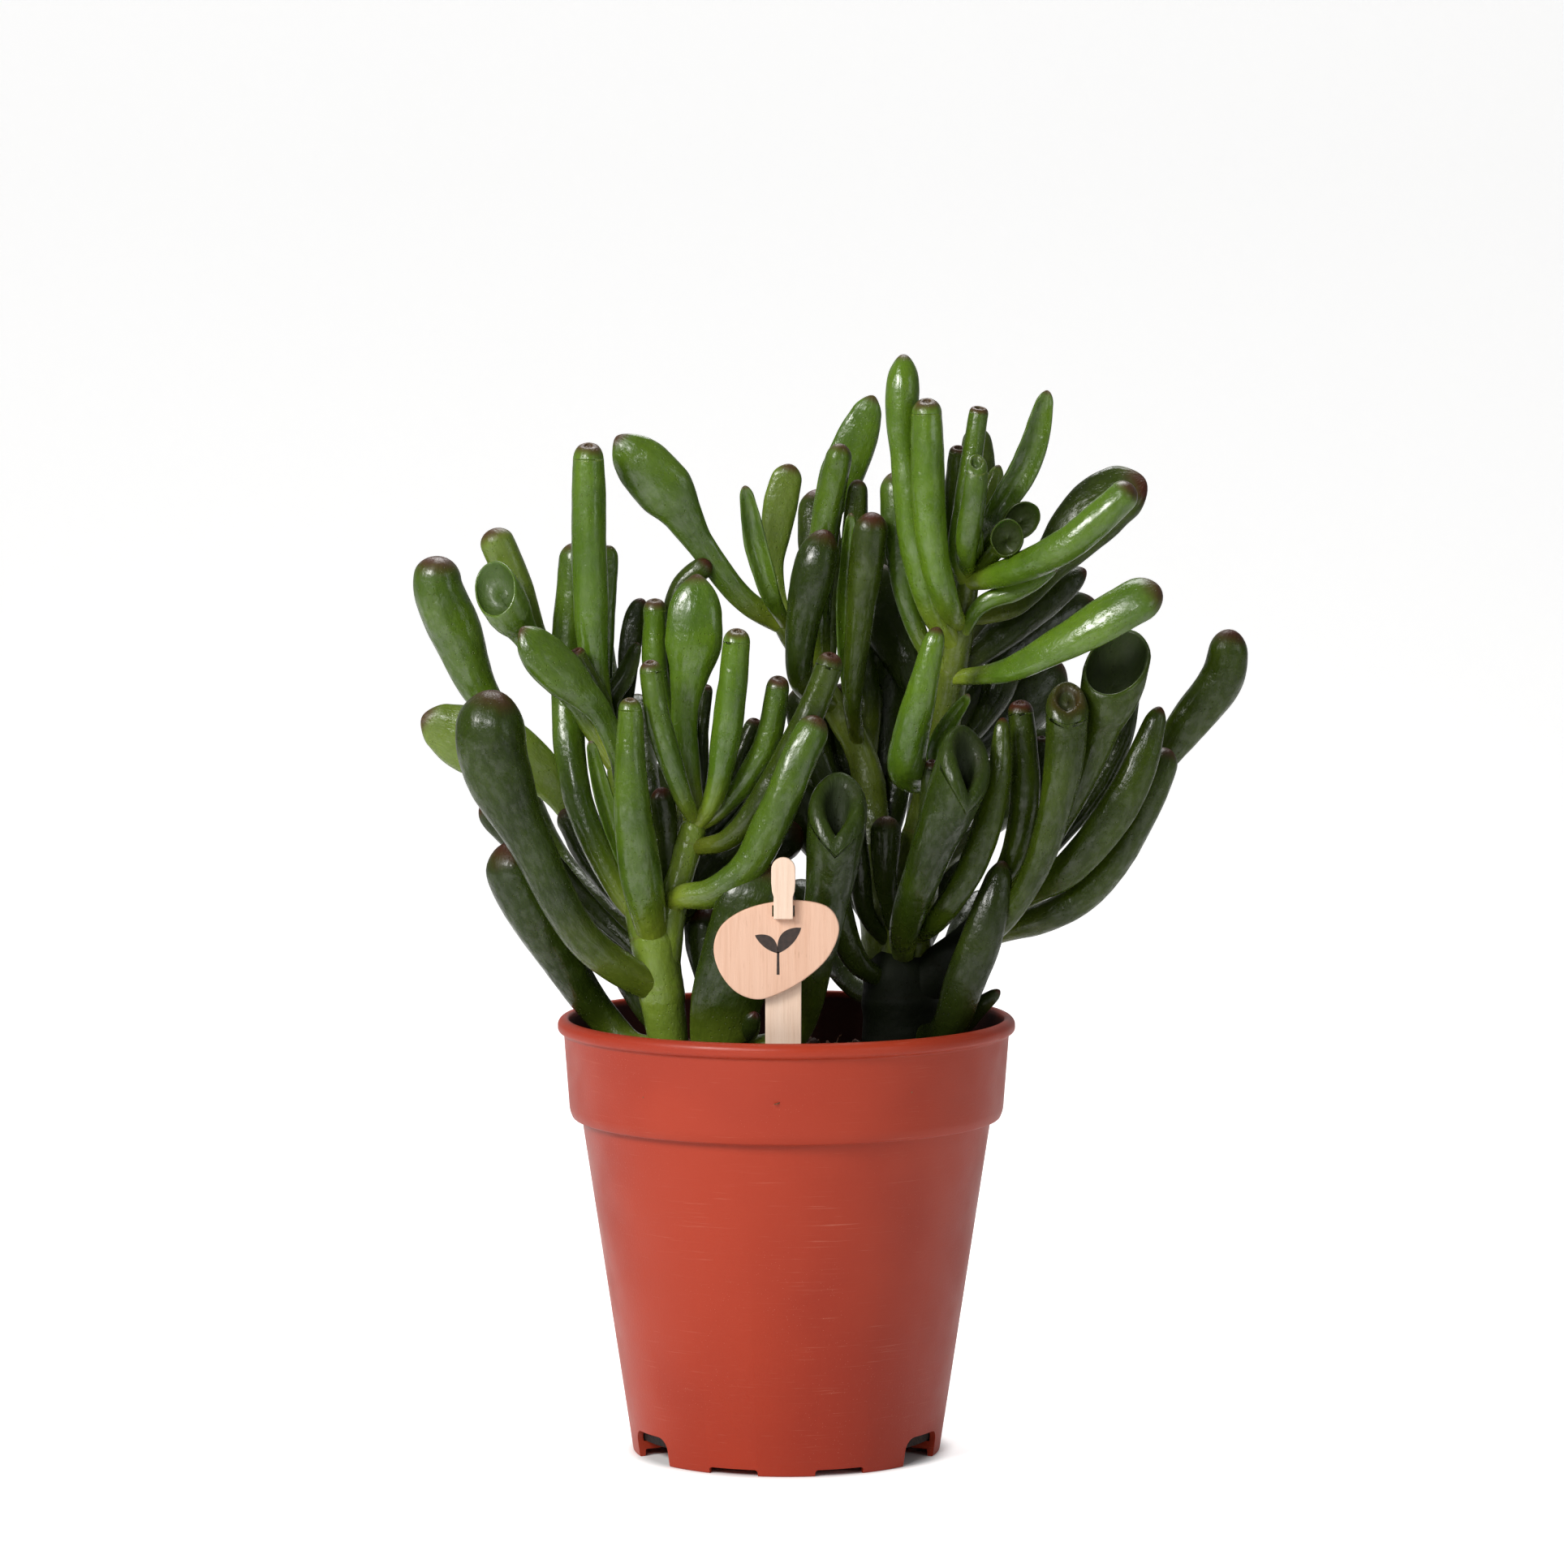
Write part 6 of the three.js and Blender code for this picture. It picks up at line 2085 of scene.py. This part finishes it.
@dataclass
class Studio:
    """A pale sweep, a soft key light from the left and a camera at the front.

    Attributes:
        aim: What the camera looks at.
        distance: Camera's distance in front.
        eye: Camera's height.
        lens: Focal length in millimetres, on a sensor 36 mm on its long side.
    """

    aim: Vector = field(default_factory=lambda: Vector((0, 0, 0.131)))
    distance: float = 1.2
    eye: float = 0.233
    lens: float = 140.9
    shift: tuple[float, float] = (-0.00285, 0.0026)

    def _sweep(self) -> None:
        """Build the floor that curves up behind."""
        rows = [(-2.2, 0.0), (1.0, 0.0)]
        turns = (step / 16 * math.pi / 2 for step in range(1, 17))
        rows += [(1.0 + 0.8 * math.sin(turn), 0.8 - 0.8 * math.cos(turn)) for turn in turns]
        rows.append((1.8, 3.0))
        verts, faces = [], []
        for y, z in rows:
            verts += [(-3.0, y, z), (3.0, y, z)]
        for index in range(len(rows) - 1):
            base = index * 2
            faces.append((base, base + 1, base + 3, base + 2))
        mesh = bpy.data.meshes.new("floor")
        mesh.from_pydata(verts, [], faces)
        smoothed(mesh)
        material, graph, shader = new_material("floor_white")
        seen = graph.add("ShaderNodeLightPath").outputs["Is Camera Ray"]
        reach = graph.vector_math("LENGTH", graph.place(), None).outputs["Value"]
        glow = graph.times(graph.times(seen, 0.62), graph.fade(reach, 0.0285, 0.034))
        graph.fill(shader, Base_Color=(0.88, 0.88, 0.88, 1), Roughness=0.9, Specular_IOR_Level=0.0,
                   Emission_Color=(1, 1, 1, 1), Emission_Strength=glow)
        piece("floor", mesh, material)

    def _light(self, name: str, place: Point, size: float, power: float, colour: Point) -> None:
        """Add a soft square light aimed at the plant."""
        data = bpy.data.lights.new(name, "AREA")
        data.shape, data.size, data.energy, data.color = "SQUARE", size, power, colour
        lamp = in_scene(name, data)
        lamp.location = place
        lamp.rotation_mode = "QUATERNION"
        lamp.rotation_quaternion = (self.aim - Vector(place)).to_track_quat("-Z", "Y")

    def build(self) -> None:
        """Set the floor, lights, world and camera."""
        scene = bpy.context.scene
        scene.view_settings.view_transform = "Standard"
        self._sweep()
        self._light("key", (-0.75, -0.8, 0.75), 0.42, 13.0, (1.0, 0.985, 0.96))
        self._light("strip", (-0.3, -1.1, 0.6), 0.16, 2.2, (1.0, 1.0, 1.0))
        self._light("fill", (0.9, -0.9, 0.45), 0.5, 1.3, (0.95, 0.98, 1.0))
        self._light("top", (0.0, 0.4, 0.9), 0.5, 5.0, (1.0, 1.0, 1.0))
        world = bpy.data.worlds.new("world")
        scene.world = world
        world.use_nodes = True
        back = world.node_tree.nodes["Background"]
        back.inputs["Color"].default_value = (1, 1, 1, 1)
        back.inputs["Strength"].default_value = 0.16
        data = bpy.data.cameras.new("camera")
        data.sensor_width, data.lens = 36.0, self.lens
        data.shift_x, data.shift_y = self.shift
        camera = in_scene("camera", data)
        camera.location = (self.aim.x, self.aim.y - self.distance, self.eye)
        camera.rotation_mode = "QUATERNION"
        camera.rotation_quaternion = (self.aim - camera.location).to_track_quat("-Z", "Y")
        scene.camera = camera


# ---------------------------------------------------------------- assembly

MATERIALS: dict[Look, bpy.types.Material] = {look: look.value.make() for look in Look}
MATERIALS_POT = PotFinish().make()
SOILS: dict[str, bpy.types.Material] = {
    "compost": SoilFinish("compost", srgb(22, 14, 10), srgb(66, 44, 32)).make(),
    "bark": SoilFinish("bark", srgb(58, 30, 18), srgb(128, 74, 46), 700.0, 0.75).make(),
    "perlite": SoilFinish("perlite", srgb(168, 160, 148), srgb(214, 208, 196), 1400.0, 0.85).make(),
    "fibre": SoilFinish("fibre", srgb(112, 74, 46), srgb(176, 132, 92), 1400.0, 0.7).make(),
}
WOODS: dict[str, bpy.types.Material] = {
    "stake": WoodFinish("stake_wood", srgb(238, 211, 190), srgb(220, 186, 160), srgb(206, 169, 138)).make(),
    "tag": WoodFinish("tag_wood", srgb(228, 187, 162), srgb(210, 164, 136), srgb(172, 124, 95)).make(),
}
INK = InkFinish("tag_ink", srgb(44, 34, 30), srgb(62, 48, 42), 0.6).make()

GROUPS: dict[str, tuple[Leaf, ...]] = {
    "left": LEFT_LEAVES, "front": FRONT_LEAVES, "centre": CENTRE_LEAVES, "right": RIGHT_LEAVES,
}


def main() -> None:
    """Build the potted plant round the CAD frame and light it."""
    logging.basicConfig(level=logging.INFO, format="%(message)s")
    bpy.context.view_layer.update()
    pot_low, pot_high = (Vector(corner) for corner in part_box("pot"))
    soil_low, soil_high = (Vector(corner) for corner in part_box("soil"))
    ground = Vector((0, 0, soil_high.z))
    pot = Pot((pot_high.x - pot_low.x) / 2, pot_high.z - pot_low.z)
    pot.build()
    Soil(soil_low, soil_high, pot).build()
    stems = Stems(ground)
    stems.build()
    builder = LeafBuilder(stems)
    for group, leaves in GROUPS.items():
        for index, leaf in enumerate(leaves, 1):
            node = f"{group}_leaf_{index:02d}"
            builder.build(f"{node}_look", leaf, node)
    for index, leaf in enumerate(EXTRA_LEAVES, 1):
        builder.build(f"small_leaf_{index:02d}", leaf)
    tag_box = [Vector(corner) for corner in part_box("label_tag")]
    stake_box = [Vector(corner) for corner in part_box("label_stake")]
    Label(ground, *tag_box, *stake_box).build()
    Studio().build()


if __name__ == "__main__":
    main()
